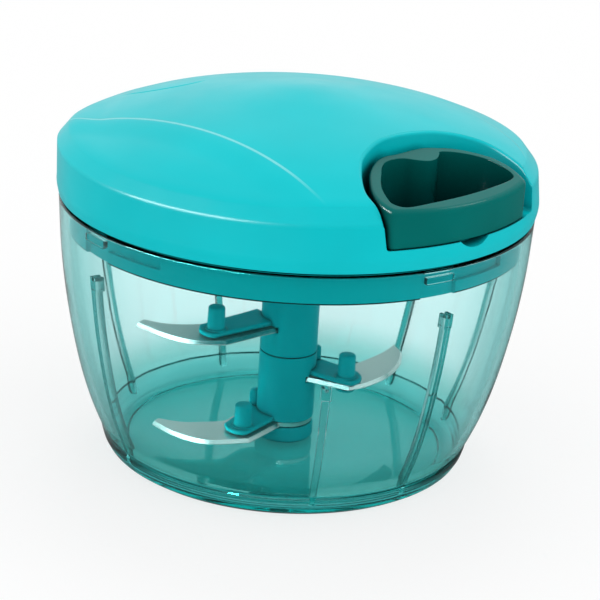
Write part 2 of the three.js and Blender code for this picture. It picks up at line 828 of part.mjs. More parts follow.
function reelCap() {
  const rim = drum_radius - drum_wall - seat_gap;
  const rim_low = cap_z - cap_rim_height;
  return turned([
    [axle_radius + run_gap, cap_z],
    [rim - cap_rim_wall, cap_z],
    [rim - cap_rim_wall, rim_low],
    [rim, rim_low],
    [rim, cap_z],
    [drum_radius, cap_z],
    [drum_radius, cap_top_z],
    [axle_radius + run_gap, cap_top_z],
  ], small_facets);
}

// Flat spiral spring between the reel's boss and its drum.
function recoilSpring() {
  const from = axle_radius + run_gap + reel_boss_wall + seat_gap;
  const to = drum_radius - drum_wall - seat_gap - cap_rim_wall - seat_gap - spring_strip;
  const count = spring_turns * spring_steps_per_turn;
  const outer = [];
  const inner = [];
  for (let i = 0; i <= count; i++) {
    const a = (2 * Math.PI * i) / spring_steps_per_turn;
    const r = THREE.MathUtils.lerp(from, to, i / count);
    inner.push([r * Math.cos(a), r * Math.sin(a)]);
    outer.push([(r + spring_strip) * Math.cos(a), (r + spring_strip) * Math.sin(a)]);
  }
  return plate(outer.concat(inner.reverse()), groove_z + seat_gap, groove_top_z - seat_gap);
}

function cordWinding() {
  return turned([
    [drum_radius + seat_gap, groove_z + seat_gap],
    [winding_radius, groove_z + seat_gap],
    [winding_radius, groove_top_z - seat_gap],
    [drum_radius + seat_gap, groove_top_z - seat_gap],
  ], inner_facets);
}

function reelAxle() {
  return bar(axle_radius, collar_z - collar_height + seat_gap, axle_boss_z + axle_seat);
}

function cordGuide() {
  const back = recess_back - recess_wall - seat_gap;
  const front = recess_back + seat_gap;
  return alongCord(eye_radius, back, front + eye_flange)
    .add(alongCord(eye_flange_radius, front, front + eye_flange))
    .subtract(alongCord(cord_radius + eye_bore_gap, back - cut_overrun, front + eye_flange + cut_overrun));
}

// The stretch inside the lid, from the winding's side to the eye.
function cordLead() {
  const mouth = new THREE.Vector2(recess_back - recess_wall - 2 * seat_gap - cord_radius, cord_offset);
  const circle = winding_radius + cord_radius + seat_gap;
  const turn = Math.atan2(mouth.y, mouth.x) + Math.acos(circle / mouth.length());
  const from = pullPoint(circle * Math.cos(turn), circle * Math.sin(turn), cord_z);
  return cordStretch(from, pullPoint(mouth.x, mouth.y, cord_z));
}

// The stretch of cord that comes out through the eye when the handle is pulled.
function pullCord() {
  const from = recess_back - recess_wall;
  const to = knot_place - knot_radius - seat_gap;
  return cordStretch(pullPoint(from, cord_offset, cord_z), pullPoint(to, cord_offset, cord_z));
}

function cordKnot() {
  const geometry = new THREE.SphereGeometry(knot_radius, 2 * knot_rings, knot_rings);
  const place = pullPoint(knot_place, cord_offset, cord_z);
  return solid(geometry.translate(place.x, place.y, place.z));
}

function pullHandle() {
  const front = [];
  for (let i = 0; i <= front_arc_steps; i++) {
    const a = degrees(THREE.MathUtils.lerp(front_arc_half_angle, -front_arc_half_angle, i / front_arc_steps));
    front.push([handle_radius * Math.cos(a), handle_radius * Math.sin(a)]);
  }
  const back = smooth(scaled(handle_outer_shares, lid_radius), outline_steps);
  const hole = smooth(scaled(handle_inner_shares, lid_radius), outline_steps, true);
  const turn = turnTo(pull_azimuth);
  const ring = plate(back.concat(front), handle_z, crown_z, turn)
    .subtract(plate(hole, handle_z - cut_overrun, crown_z + cut_overrun, turn));
  const { x, y } = pullPoint(knot_place, cord_offset, cord_z);
  const pocket_radius = knot_radius + knot_pocket_gap;
  const pocket = bar(pocket_radius, handle_z - cut_overrun, cord_z + pocket_radius).translate([x, y, 0]);
  return ring
    .subtract(handleTopCut())
    .subtract(pocket)
    .subtract(alongCord(cord_radius + seat_gap, recess_back, knot_place));
}

// Everything above the handle's sloping top.
function handleTopCut() {
  const front_top = handle_z + handle_front_height;
  const high = crown_z + cut_overrun;
  const outline = [
    [0, front_top + handle_slope * handle_radius],
    [handle_radius + cut_overrun, front_top - handle_slope * cut_overrun],
    [handle_radius + cut_overrun, high],
    [0, high],
  ];
  return upright(outline, 2 * lid_radius, pull_azimuth);
}

// Plastics and metals.
const clear_teal = { color: 0x9fe0de, roughness: 0.08, metalness: 0 };
const turquoise = { color: 0x0fc3c9, roughness: 0.35, metalness: 0 };
const deep_teal = { color: 0x028a8e, roughness: 0.4, metalness: 0 };
const dark_green = { color: 0x0c5f5d, roughness: 0.3, metalness: 0 };
const steel = { color: 0xc9cccb, roughness: 0.25, metalness: 1 };
const brass = { color: 0xb99a5b, roughness: 0.35, metalness: 1 };
const white_acetal = { color: 0xe9e9e4, roughness: 0.5, metalness: 0 };
const cord_white = { color: 0xe6e8e6, roughness: 0.8, metalness: 0 };

const chopper = new THREE.Group();

// A finished solid as a named mesh in the group.
function piece(name, made, look) {
  const mesh = made.getMesh();
  const geometry = new THREE.BufferGeometry();
  geometry.setAttribute("position", new THREE.BufferAttribute(new Float32Array(mesh.vertProperties), 3));
  geometry.setIndex(new THREE.BufferAttribute(new Uint32Array(mesh.triVerts), 1));
  geometry.computeVertexNormals();
  const item = new THREE.Mesh(geometry, new THREE.MeshStandardMaterial(look));
  item.name = name;
  chopper.add(item);
}

piece("bowl", bowl(), { ...clear_teal, transparent: true, opacity: 0.4 });
piece("pivot_pin", pivotPin(), steel);

piece("hub_foot", hubFoot(), deep_teal);
piece("hub_lower", hubLower(), deep_teal);
piece("hub_upper", hubUpper(), deep_teal);
piece("hub_core", hubCore(), steel);
piece("hub_bush", hubBush(), white_acetal);
piece("blade_lower", lowerBlade(), steel);
piece("blade_middle", blade(middle_blade), steel);
piece("blade_upper", blade(upper_blade), steel);

piece("lid_cover", lidCover(), turquoise);
piece("lid_base", lidBase(), deep_teal);
piece("drive_bush", driveBush(), brass);
piece("reel_axle", reelAxle(), steel);
piece("cord_guide", cordGuide(), dark_green);
piece("cord_lead", cordLead(), cord_white);
screw_azimuths.forEach((azimuth, i) => piece(`lid_screw_${i + 1}`, lidScrew(azimuth), steel));

piece("cord_reel", cordReel(), white_acetal);
piece("reel_cap", reelCap(), white_acetal);
piece("recoil_spring", recoilSpring(), steel);
piece("cord_winding", cordWinding(), cord_white);
piece("drive_spindle", driveSpindle(), white_acetal);

piece("pull_handle", pullHandle(), dark_green);
piece("pull_cord", pullCord(), cord_white);
piece("cord_knot", cordKnot(), cord_white);

export default chopper;
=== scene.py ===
# %% [markdown]
# # A pull-cord food chopper
# The object is a small kitchen chopper: a clear tinted bowl, three steel blades on a hub, and a domed lid.
# A cord wound inside the lid turns the blades when its ring handle is pulled.
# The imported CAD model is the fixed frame. Its plain pieces give every size and place, and this script
# dresses them: each visible piece is modelled again with its real roundings, then gets its own material.

# %% Load the frame
import math

import bpy
from mathutils import Matrix, Vector
from mathutils.geometry import interpolate_bezier


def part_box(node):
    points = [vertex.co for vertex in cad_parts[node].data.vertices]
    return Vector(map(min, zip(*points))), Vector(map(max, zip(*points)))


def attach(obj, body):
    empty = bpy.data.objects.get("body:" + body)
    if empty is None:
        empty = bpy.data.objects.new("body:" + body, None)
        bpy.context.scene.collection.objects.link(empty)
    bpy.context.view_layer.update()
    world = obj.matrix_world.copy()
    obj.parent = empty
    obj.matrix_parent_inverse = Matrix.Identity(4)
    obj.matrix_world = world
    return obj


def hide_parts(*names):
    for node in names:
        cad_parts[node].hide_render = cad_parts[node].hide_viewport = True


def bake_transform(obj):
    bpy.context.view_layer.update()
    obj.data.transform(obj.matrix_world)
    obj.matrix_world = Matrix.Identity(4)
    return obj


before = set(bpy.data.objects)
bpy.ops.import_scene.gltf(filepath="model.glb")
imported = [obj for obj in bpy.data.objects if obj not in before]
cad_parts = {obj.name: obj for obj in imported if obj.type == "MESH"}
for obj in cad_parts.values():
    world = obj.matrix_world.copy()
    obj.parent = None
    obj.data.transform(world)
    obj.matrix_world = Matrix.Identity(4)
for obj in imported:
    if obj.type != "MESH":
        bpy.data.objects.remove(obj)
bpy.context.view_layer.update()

# %% [markdown]
# ## Sizes from the frame
# Blender works in metres here. Each size is read from a CAD piece's box, or is a real length in millimetres
# times MM, so that a number in the script can be checked with a ruler. Sizes that are read from the frame
# follow the CAD model when it changes, so they come first.

# %% Main sizes
MM = 0.001

bowl_low, bowl_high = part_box("bowl")
lid_low, lid_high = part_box("lid_cover")
handle_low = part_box("pull_handle")[0]
rim_radius = (bowl_high.x - bowl_low.x) / 2
bowl_height = bowl_high.z
lid_radius = (lid_high.x - lid_low.x) / 2
lid_shadow_gap = 0.9 * MM
lid_edge_z = bowl_height + lid_shadow_gap
crown_z = lid_high.z
print(f"bowl {bowl_height / MM:.1f} mm high, lid {2 * lid_radius / MM:.1f} mm across")

# %% [markdown]
# ## Camera
# The picture looks down on the chopper by about twenty degrees with a long lens, which keeps the bowl's sides
# nearly parallel. A camera could be aimed by eye. Here its place, turn and lens were fitted to points of the
# object that can be told apart, so that each piece falls where the picture has it.

# %% Camera
camera_distance = 550 * MM
camera_aim_height = 40 * MM
camera_elevation = math.radians(20.40)
camera_heading = math.radians(0.25)
camera_pitch = math.radians(-20.45)
camera_roll = math.radians(3.53)
image_side = 600
focal_length_in_pixels = 2127

forward = Vector((
    math.sin(camera_heading) * math.cos(camera_pitch),
    math.cos(camera_heading) * math.cos(camera_pitch),
    math.sin(camera_pitch),
))
level = forward.cross(Vector((0, 0, 1))).normalized()
upright = level.cross(forward)
right = math.cos(camera_roll) * level + math.sin(camera_roll) * upright
up = math.cos(camera_roll) * upright - math.sin(camera_roll) * level

bpy.ops.object.camera_add()
camera = bpy.context.object
camera.matrix_world = Matrix((right, up, -forward)).transposed().to_4x4()
camera.location = Vector((
    0,
    -camera_distance * math.cos(camera_elevation),
    camera_distance * math.sin(camera_elevation) + camera_aim_height,
))
camera.data.lens = camera.data.sensor_width * focal_length_in_pixels / image_side
bpy.context.scene.camera = camera
print(f"lens {camera.data.lens:.1f} mm")

# %% [markdown]
# ## Selecting and editing
# An operator acts on all that is selected, and a new shape is selected all over. So each step starts by
# selecting the one object that it works on, and closes edit mode when it is done.

# %% Select and edit
WELD = 0.001 * MM


def pick(obj):
    """Makes obj the only selected object."""
    if bpy.context.object and bpy.context.object.mode != "OBJECT":
        bpy.ops.object.mode_set(mode="OBJECT")
    bpy.ops.object.select_all(action="DESELECT")
    obj.select_set(True)
    bpy.context.view_layer.objects.active = obj
    return obj


def edit(obj, mode="VERT"):
    """Opens obj in edit mode with all of it selected."""
    pick(obj)
    bpy.ops.object.mode_set(mode="EDIT")
    bpy.ops.mesh.select_mode(type=mode)
    bpy.ops.mesh.select_all(action="SELECT")


def close_edit():
    """Goes back to object mode."""
    bpy.ops.object.mode_set(mode="OBJECT")


def face_out(obj):
    """Merges doubled points, then turns all faces outwards."""
    edit(obj)
    bpy.ops.mesh.remove_doubles(threshold=WELD)
    bpy.ops.mesh.normals_make_consistent(inside=False)
    close_edit()
    return obj


def join(name, *parts):
    """Several objects as one."""
    pick(parts[0])
    for part in parts[1:]:
        part.select_set(True)
    bpy.ops.object.join()
    parts[0].name = name
    return parts[0]


print(f"points closer than {WELD / MM} mm are merged")

# %% [markdown]
# ## Drawn lines
# The side of a bowl or the rim of a handle starts as a drawn line. It could be traced point by point, but
# then its corners are rough. Here a line has only its real corners, each with the radius that the mould has
# there, or a few points that a smooth curve goes through.

# %% Lines
def rounded(corners, steps=5, closed=True):
    """A line through corners given as (x, y, radius), each rounded by an arc of its radius."""
    line = []
    for i, (x, y, radius) in enumerate(corners):
        here = Vector((x, y))
        end = not closed and i in (0, len(corners) - 1)
        if radius == 0 or end:
            line.append((x, y))
            continue
        before = Vector(corners[i - 1][:2]) - here
        after = Vector(corners[(i + 1) % len(corners)][:2]) - here
        half = before.angle(after) / 2
        cut = min(radius / math.tan(half), 0.48 * before.length, 0.48 * after.length)
        start = here + before.normalized() * cut
        stop = here + after.normalized() * cut
        for s in range(steps + 1):
            t = s / steps
            weights = ((1 - t) ** 2, 2 * t * (1 - t) * math.sin(half), t * t)
            point = (start * weights[0] + here * weights[1] + stop * weights[2]) / sum(weights)
            line.append(tuple(point))
    return line


def through(points, steps=8, closed=False):
    """A smooth line through points."""
    count = len(points)
    line = []
    for i in range(count if closed else count - 1):
        picks = [i + k if closed else min(max(i + k, 0), count - 1) for k in (-1, 0, 1, 2)]
        before, start, stop, after = (Vector(points[k % count]) for k in picks)
        pull = (stop - before) / 6
        push = (after - start) / 6
        line += interpolate_bezier(start, start + pull, stop - push, stop, steps + 1)[:-1]
    if not closed:
        line.append(Vector(points[-1]))
    return [tuple(p) for p in line]


def evenly(line, count, closed=False):
    """The same line with its points evenly spaced."""
    ring = [Vector(p) for p in line] + ([Vector(line[0])] if closed else [])
    lengths = [0]
    for a, b in zip(ring, ring[1:]):
        lengths.append(lengths[-1] + (b - a).length)
    steps = count if closed else count - 1
    made = []
    k = 0
    for i in range(count):
        want = lengths[-1] * i / steps
        while k < len(ring) - 2 and lengths[k + 1] < want:
            k += 1
        part = (want - lengths[k]) / max(lengths[k + 1] - lengths[k], WELD * WELD)
        made.append(tuple(ring[k].lerp(ring[k + 1], min(part, 1))))
    return made


def value_at(line, x):
    """The second value of a line where its first value passes x."""
    for (x0, y0), (x1, y1) in zip(line, line[1:]):
        if min(x0, x1) <= x <= max(x0, x1) and x0 != x1:
            return y0 + (y1 - y0) * (x - x0) / (x1 - x0)
    nearest = min(line, key=lambda p: abs(p[0] - x))
    return nearest[1]


def scaled(shares, size):
    """Points given as shares of a size."""
    return [tuple(share * size for share in pair) for pair in shares]


square = [(0, 0, 1), (4, 0, 1), (4, 4, 1), (0, 4, 1)]
print("a square with round corners has", len(rounded(square)), "points")

# %% [markdown]
# ## Spun and raised shapes
# Spin turns a profile about an axis, as a lathe would, and extrude raises an outline, as a press does. Both
# leave clean rings of faces. Doubled points are merged and the faces are turned outwards each time, because
# light in a clear piece depends on which side is out.

# %% Drawn, spun and raised shapes
ROUND = 192
SMALL_ROUND = 64


def draw(name, points, closed=True):
    """A new object with a line through 3D points."""
    mesh = bpy.data.meshes.new(name)
    edges = [(i, i + 1) for i in range(len(points) - 1)]
    if closed:
        edges.append((len(points) - 1, 0))
    mesh.from_pydata(points, edges, [])
    obj = bpy.data.objects.new(name, mesh)
    bpy.context.scene.collection.objects.link(obj)
    return pick(obj)


def spun(name, profile, steps=ROUND):
    """A profile of (radius, height) points turned about +Z."""
    closed = profile[0][0] > WELD or profile[-1][0] > WELD
    obj = draw(name, [(r, 0, z) for r, z in profile], closed)
    edit(obj)
    bpy.ops.mesh.spin(steps=steps, angle=math.tau, center=(0, 0, 0), axis=(0, 0, 1))
    close_edit()
    return face_out(obj)


def raised(name, outline, low, high):
    """A flat outline of (x, y) points raised between two heights."""
    obj = draw(name, [(x, y, low) for x, y in outline])
    edit(obj)
    bpy.ops.mesh.edge_face_add()
    bpy.ops.mesh.extrude_region_move(TRANSFORM_OT_translate={"value": (0, 0, high - low)})
    close_edit()
    return face_out(obj)


def skin(name, loops):
    """Rings of points, each with the same number, joined in order and closed at both ends."""
    count = len(loops[0])
    points = [p for loop in loops for p in loop]
    faces = [tuple(range(count)), tuple(range(len(points) - count, len(points)))]
    for row in range(len(loops) - 1):
        for i in range(count):
            j = (i + 1) % count
            faces.append((row * count + i, row * count + j, (row + 1) * count + j, (row + 1) * count + i))
    mesh = bpy.data.meshes.new(name)
    mesh.from_pydata(points, [], faces)
    obj = bpy.data.objects.new(name, mesh)
    bpy.context.scene.collection.objects.link(obj)
    return face_out(obj)


print(f"a large turned piece has {ROUND} facets round it, a small one {SMALL_ROUND}")

# %% [markdown]
# ## Places
# Azimuths are counted from the front, -Y, towards +X. A piece is made along +X and is then turned to its
# azimuth. Its place and turn go into its mesh at once, so that no pattern in a material slides.

# %% Places
def at(azimuth, radius):
    """The point at an azimuth, from -Y towards +X, and a radius."""
    a = math.radians(azimuth)
    return radius * math.sin(a), -radius * math.cos(a)


def placed(obj):
    """Puts obj's place, turn and scale into its mesh."""
    pick(obj)
    bpy.ops.object.transform_apply(location=True, rotation=True, scale=True)
    return obj


def turned_to(obj, azimuth):
    """Turns what was made along +X to an azimuth."""
    obj.rotation_euler.z = math.radians(azimuth - 90)
    return placed(obj)


def bar(radius, low, high, x=0, y=0, soft=0, top_radius=None):
    """A round bar between two heights, with softened ends."""
    top = radius if top_radius is None else top_radius
    profile = [(0, low, 0), (radius, low, soft), (top, high, soft), (0, high, 0)]
    obj = spun("bar", rounded(profile, 4, False), SMALL_ROUND)
    obj.location = (x, y, 0)
    return placed(obj)


print("azimuth 90 is at", [round(value, 3) for value in at(90, 1)])

# %% [markdown]
# ## Cuts and soft edges
# Holes and pockets could be bridged by hand. A Boolean modifier that is applied at once gives the same faces
# and lets each feature be a shape of its own. A Bevel modifier then rounds the edges that stay sharp.

# %% Cuts and soft edges
def combine(obj, tool, how):
    """Joins, cuts or crosses obj with a tool, which is used up."""
    pick(obj)
    bpy.ops.object.modifier_add(type="BOOLEAN")
    boolean = obj.modifiers[-1]
    boolean.operation = how
    boolean.solver = "EXACT"
    boolean.object = tool
    bpy.ops.object.modifier_apply(modifier=boolean.name)
    bpy.data.objects.remove(tool)
    return obj


def add_to(obj, *tools):
    """Joins obj with other bodies."""
    for tool in tools:
        combine(obj, tool, "UNION")
    return obj


def cut_from(obj, *tools):
    """Cuts the room of other bodies out of obj."""
    for tool in tools:
        combine(obj, tool, "DIFFERENCE")
    return obj


def soft_edges(obj, width, segments=3, angle=40):
    """Bevels the sharp edges of obj."""
    pick(obj)
    bpy.ops.object.modifier_add(type="BEVEL")
    bevel = obj.modifiers[-1]
    bevel.width = width
    bevel.segments = segments
    bevel.limit_method = "ANGLE"
    bevel.angle_limit = math.radians(angle)
    bpy.ops.object.modifier_apply(modifier=bevel.name)
    return obj


print("cutting tools are used up by the cut")

# %% [markdown]
# ## Finishing a piece
# A moulded piece is smooth on its faces and crisp at its edges. Smooth shading by angle gives the first, and
# a Weighted Normal modifier keeps the large faces from taking on the shade of the small ones beside them.
# Each piece then rides on its body and stands for its CAD nodes.

# %% Finish a piece
def finish_piece(obj, name, body, material, nodes, angle=32):
    """Names, shades and dresses a piece, and lets it stand for its CAD nodes."""
    obj.name = name
    pick(obj)
    bpy.ops.object.shade_smooth_by_angle(angle=math.radians(angle))
    bpy.ops.object.modifier_add(type="WEIGHTED_NORMAL")
    obj.modifiers[-1].keep_sharp = True
    bpy.ops.object.modifier_apply(modifier=obj.modifiers[-1].name)
    obj.data.materials.clear()
    obj.data.materials.append(material)
    if body:
        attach(obj, body)
    obj.data.validate()
    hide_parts(*nodes)
    print(f"{name}: {len(obj.data.polygons)} faces")
    return obj


# %% [markdown]
# ## Colours and nodes
# Colours are written as the hex values that a picture editor shows, and turned to the linear values that
# Blender works in. One small function adds a node with its settings and its links. Most of the materials
# also need noise with spots of a real size, which has a helper of its own.

# %% Colour and nodes
def colour(hex_code):
    """A linear colour from an sRGB hex code."""
    channels = [int(hex_code[i:i + 2], 16) / 255 for i in (0, 2, 4)]
    linear = [c / 12.92 if c <= 0.04045 else ((c + 0.055) / 1.055) ** 2.4 for c in channels]
    return (*linear, 1)


def new_material(name):
    """A material without any nodes yet."""
    material = bpy.data.materials.new(name)
    material.use_nodes = True
    material.node_tree.nodes.clear()
    return material


def add(material, kind, inputs=None, **settings):
    """Adds a node. An input is a value, or another node's output to link."""
    tree = material.node_tree
    node = tree.nodes.new(kind)
    for key, value in settings.items():
        setattr(node, key, value)
    for key, value in (inputs or {}).items():
        if isinstance(value, bpy.types.NodeSocket):
            tree.links.new(value, node.inputs[key])
        else:
            node.inputs[key].default_value = value
    return node


def spots(material, place, size, low, high, detail=2):
    """Noise with spots of a real size, spread between two values."""
    noise = add(material, "ShaderNodeTexNoise", {"Vector": place, "Scale": 1 / size, "Detail": detail})
    spread = add(material, "ShaderNodeMapRange", {
        "Value": noise.outputs["Fac"], "From Min": 0.3, "From Max": 0.7, "To Min": low, "To Max": high})
    return spread.outputs["Result"]


print("a mid grey of 808080 is", round(colour("808080")[0], 3), "in linear light")

# %% [markdown]
# ## Moulded plastic
# The lid, its base, the hub and the handle are injection moulded. The mould's walls are spark eroded, so
# the plastic has a very fine grain and a soft gloss. A flat colour would look like paint, so the grain is
# noise in the relief. The real grain is under 0.1 mm, too fine to show, so it is drawn at a few tenths.
# Where plastic flowed slowly, the colour and the gloss change a little over some centimetres. Every moulded
# edge has a small radius, which the Bevel node gives to the edges that are too small to model. Light is lost
# in narrow gaps, and Ambient Occlusion paints that shade into the colour where a gap's width is given. A
# pattern can also mix paler edges in, which are painted highlights.

# %% Opaque moulded plastic
grain_size = 0.35 * MM
grain_depth = 0.0015 * MM
moulded_edge = 0.35 * MM
flow_mark_size = 22 * MM
gloss_spot_size = 9 * MM
gloss_change = 0.03
painted_highlight_colour = "9ceaec"
wider = 2.5


def moulded(name, base, shade, roughness, shine, painted_shade_gap=0, pattern=None):
    """A grained plastic. Narrow gaps of the given width get painted shade. A pattern adds a relief whose
    edges get a painted highlight.
    """
    material = new_material(name)
    place = add(material, "ShaderNodeTexCoord").outputs["Object"]
    flow = spots(material, place, flow_mark_size, 0, 1)
    tint = add(material, "ShaderNodeMix", {0: flow, 6: colour(base), 7: colour(shade)},
               data_type="RGBA").outputs[2]
    if pattern:
        relief, edge = pattern(material, place)
        # The relief's edges are mixed towards a paler colour: a painted highlight.
        tint = add(material, "ShaderNodeMix", {0: edge, 6: tint, 7: colour(painted_highlight_colour)},
                   data_type="RGBA").outputs[2]
    # Ambient Occlusion darkens the colour in gaps of the given width: painted shade.
    for reach in (painted_shade_gap, wider * painted_shade_gap) if painted_shade_gap else ():
        tint = add(material, "ShaderNodeAmbientOcclusion", {"Color": tint, "Distance": reach},
                   samples=8).outputs["Color"]
    gloss = spots(material, place, gloss_spot_size, roughness - gloss_change, roughness + gloss_change)
    round_edges = add(material, "ShaderNodeBevel", {"Radius": moulded_edge}, samples=4)
    grit = add(material, "ShaderNodeTexNoise", {"Vector": place, "Scale": 1 / grain_size, "Detail": 2.0})
    normal = add(material, "ShaderNodeBump", {"Height": grit.outputs["Fac"], "Distance": grain_depth,
                                              "Normal": round_edges.outputs["Normal"]}).outputs["Normal"]
    if pattern:
        normal = add(material, "ShaderNodeBump", {"Height": relief, "Distance": 1.0,
                                                  "Normal": normal}).outputs["Normal"]
    shader = add(material, "ShaderNodeBsdfPrincipled", {
        "Base Color": tint, "Roughness": gloss, "Normal": normal, "IOR": 1.49,
        "Specular IOR Level": shine})
    add(material, "ShaderNodeOutputMaterial", {"Surface": shader.outputs["BSDF"]})
    return material


# %% [markdown]
# ## The plastics of the chopper
# Polypropylene is waxy, so it is rough with a weak shine. The handle is ABS, which comes out of the mould
# harder and glossier, and acetal is the white slippery plastic of reels and bushes. Where the lid's base lies
# in the narrow gap above and below its band, it is painted nearly black: a painted shadow of that gap.

# %% Plastics
base_plastic = moulded("moulded polypropylene, deep teal", "00bec4", "00bac0", 0.42, 0.03)
# Painted shadow: a near-black colour for the lid base's faces in the narrow gap under the lid.
painted_shadow_plastic = moulded("moulded polypropylene, painted gap shadow", "001c1c", "001818", 0.42, 0.03)
# The last number for the hub and the handle is the width of the gaps that get painted shade.
hub_plastic = moulded("moulded polypropylene, hub teal", "00b7bf", "00b2ba", 0.4, 0.03, 0.6 * MM)
handle_plastic = moulded("moulded ABS, dark green", "016e69", "016661", 0.16, 0.08, 9 * MM)
white_plastic = moulded("moulded acetal, white", "e9e9e4", "e2e2dd", 0.45, 0.4)
print(len(bpy.data.materials), "materials so far")

# %% [markdown]
# ## Clear bowl plastic
# The bowl is SAN, a hard clear plastic with a teal dye. Light loses red on its way through the wall, so thick
# places such as ribs, rim and foot look deeper than the thin wall. Volume Absorption does this by distance,
# and a tint on the surface helps where the wall is seen edge on, low down and on a rib. At the rim's top,
# under the lid's edge, the tint is nearly black: a painted shadow of the gap.
# Light on its way to a lit surface can't bend in Cycles, so for that light the wall is a plain tinted pane.

# %% Clear plastic
foot_height = 6 * MM
foot_ring_radius = 0.7 * rim_radius
ring_fade = 1 * MM
low_wall_from = 18 * MM
low_wall_to = 7 * MM
foot_fade_from = foot_height + 2.5 * MM
foot_fade_to = foot_height - 2 * MM
rim_shade_from = bowl_height - 0.3 * MM
rim_shade_to = bowl_height - 0.15 * MM
ripple_size = 14 * MM
ripple_depth = 0.05 * MM
haze_size = 6 * MM
dye_passes = (0.15, 0.94, 0.935, 1)
dye_per_metre = 100


def bowl_tint(material, place):
    """The surface's tint. Each row lays a deeper colour over a range of a value."""
    height = add(material, "ShaderNodeSeparateXYZ", {"Vector": place}).outputs["Z"]
    flat = add(material, "ShaderNodeMapping", {"Vector": place, "Scale": (1, 1, 0)}).outputs["Vector"]
    radius = add(material, "ShaderNodeVectorMath", {0: flat}, operation="LENGTH").outputs["Value"]
    slant = add(material, "ShaderNodeLayerWeight", {"Blend": 0.5}).outputs["Facing"]
    on_rib = add(material, "ShaderNodeAttribute", attribute_name="rib").outputs["Fac"]
    layers = [
        (slant, 0.25, 1.0, "SMOOTHSTEP", "7ccac8"),
        (height, low_wall_from, low_wall_to, "SMOOTHSTEP", "a8deda"),
        (height, foot_fade_from, foot_fade_to, "LINEAR", "7cd6d4"),
        (radius, foot_ring_radius + ring_fade, foot_ring_radius - ring_fade, "LINEAR", "54dad6"),
        (on_rib, 0, 1, "LINEAR", "0c6664"),
        # The rim's near-black top is painted shade of the gap under the lid.
        (height, rim_shade_from, rim_shade_to, "LINEAR", "0a3838"),
    ]
    tint = colour("fbffff")
    for value, start, stop, how, deeper in layers:
        share = add(material, "ShaderNodeMapRange", {"Value": value, "From Min": start, "From Max": stop},
                    interpolation_type=how).outputs["Result"]
        tint = add(material, "ShaderNodeMix", {0: share, 6: tint, 7: colour(deeper)},
                   data_type="RGBA").outputs[2]
    return tint


def clear_plastic():
    """Clear dyed plastic to look through, and a plain pane for light on its way to a lit surface."""
    material = new_material("moulded SAN, clear teal")
    place = add(material, "ShaderNodeTexCoord").outputs["Object"]
    wave = add(material, "ShaderNodeTexNoise", {"Vector": place, "Scale": 1 / ripple_size, "Detail": 1.0})
    ripple = add(material, "ShaderNodeBump", {"Height": wave.outputs["Fac"], "Distance": ripple_depth})
    haze = spots(material, place, haze_size, 0.015, 0.045)
    glass = add(material, "ShaderNodeBsdfPrincipled", {
        "Base Color": bowl_tint(material, place), "Roughness": haze, "IOR": 1.5, "Specular IOR Level": 0.3,
        "Specular Tint": colour("40c8c8"), "Transmission Weight": 1.0, "Normal": ripple.outputs["Normal"]})
    pane = add(material, "ShaderNodeBsdfTransparent", {"Color": colour("dfe8e8")})
    ray = add(material, "ShaderNodeLightPath")
    seen = add(material, "ShaderNodeMixShader", {0: ray.outputs["Is Diffuse Ray"], 1: glass.outputs["BSDF"],
                                                 2: pane.outputs["BSDF"]})
    both = add(material, "ShaderNodeMixShader", {0: ray.outputs["Is Shadow Ray"], 1: seen.outputs["Shader"],
                                                 2: pane.outputs["BSDF"]})
    dye = add(material, "ShaderNodeVolumeAbsorption", {"Color": dye_passes, "Density": dye_per_metre})
    add(material, "ShaderNodeOutputMaterial", {"Surface": both.outputs["Shader"],
                                               "Volume": dye.outputs["Volume"]})
    return material


bowl_plastic = clear_plastic()
print(bowl_plastic.name, "has", len(bowl_plastic.node_tree.nodes), "nodes")

# %% [markdown]
# ## Metals
# The blades are stamped from stainless sheet and ground, which leaves fine lines along each blade. The pins
# and screws are turned steel and the bush is brass. Noise that is stretched along one direction gives the
# lines: it sets both the gloss and a very shallow relief. Real lines are finer than a tenth of a millimetre,
# so they are drawn coarser, at a quarter.

# %% Steel and brass
line_depth = 0.004 * MM
line_stretch = 0.03
metal_gloss_change = 0.06


def metal(name, tone, roughness, azimuth=0, line=0.25 * MM):
    """Metal with grinding lines along an azimuth."""
    material = new_material(name)
    place = add(material, "ShaderNodeTexCoord").outputs["Object"]
    turn = (0, 0, math.radians(90 - azimuth))
    turned = add(material, "ShaderNodeMapping", {
        "Vector": place, "Rotation": turn, "Scale": (line_stretch, 1, 1)}).outputs["Vector"]
    lines = add(material, "ShaderNodeTexNoise", {"Vector": turned, "Scale": 1 / line, "Detail": 2.0})
    bump = add(material, "ShaderNodeBump", {"Height": lines.outputs["Fac"], "Distance": line_depth})
    gloss = add(material, "ShaderNodeMapRange", {
        "Value": lines.outputs["Fac"], "From Min": 0.3, "From Max": 0.7,
        "To Min": roughness - metal_gloss_change, "To Max": roughness + metal_gloss_change})
    shader = add(material, "ShaderNodeBsdfPrincipled", {
        "Base Color": colour(tone), "Metallic": 1.0, "Roughness": gloss.outputs["Result"],
        "Normal": bump.outputs["Normal"]})
    add(material, "ShaderNodeOutputMaterial", {"Surface": shader.outputs["BSDF"]})
    return material


plain_steel = metal("turned steel", "c8cac9", 0.36)
bush_brass = metal("turned brass", "c9a560", 0.36)
print("metals:", plain_steel.name, "and", bush_brass.name)

# %% [markdown]
# ## Braided cord
# The cord is white braided polyester. Its strands cross in a small check, each a little raised, and its fine
# fibres give it a sheen. A checker pattern at the width of a strand is enough at this size.

# %% Cord material
strand_width = 0.8 * MM
strand_depth = 0.1 * MM


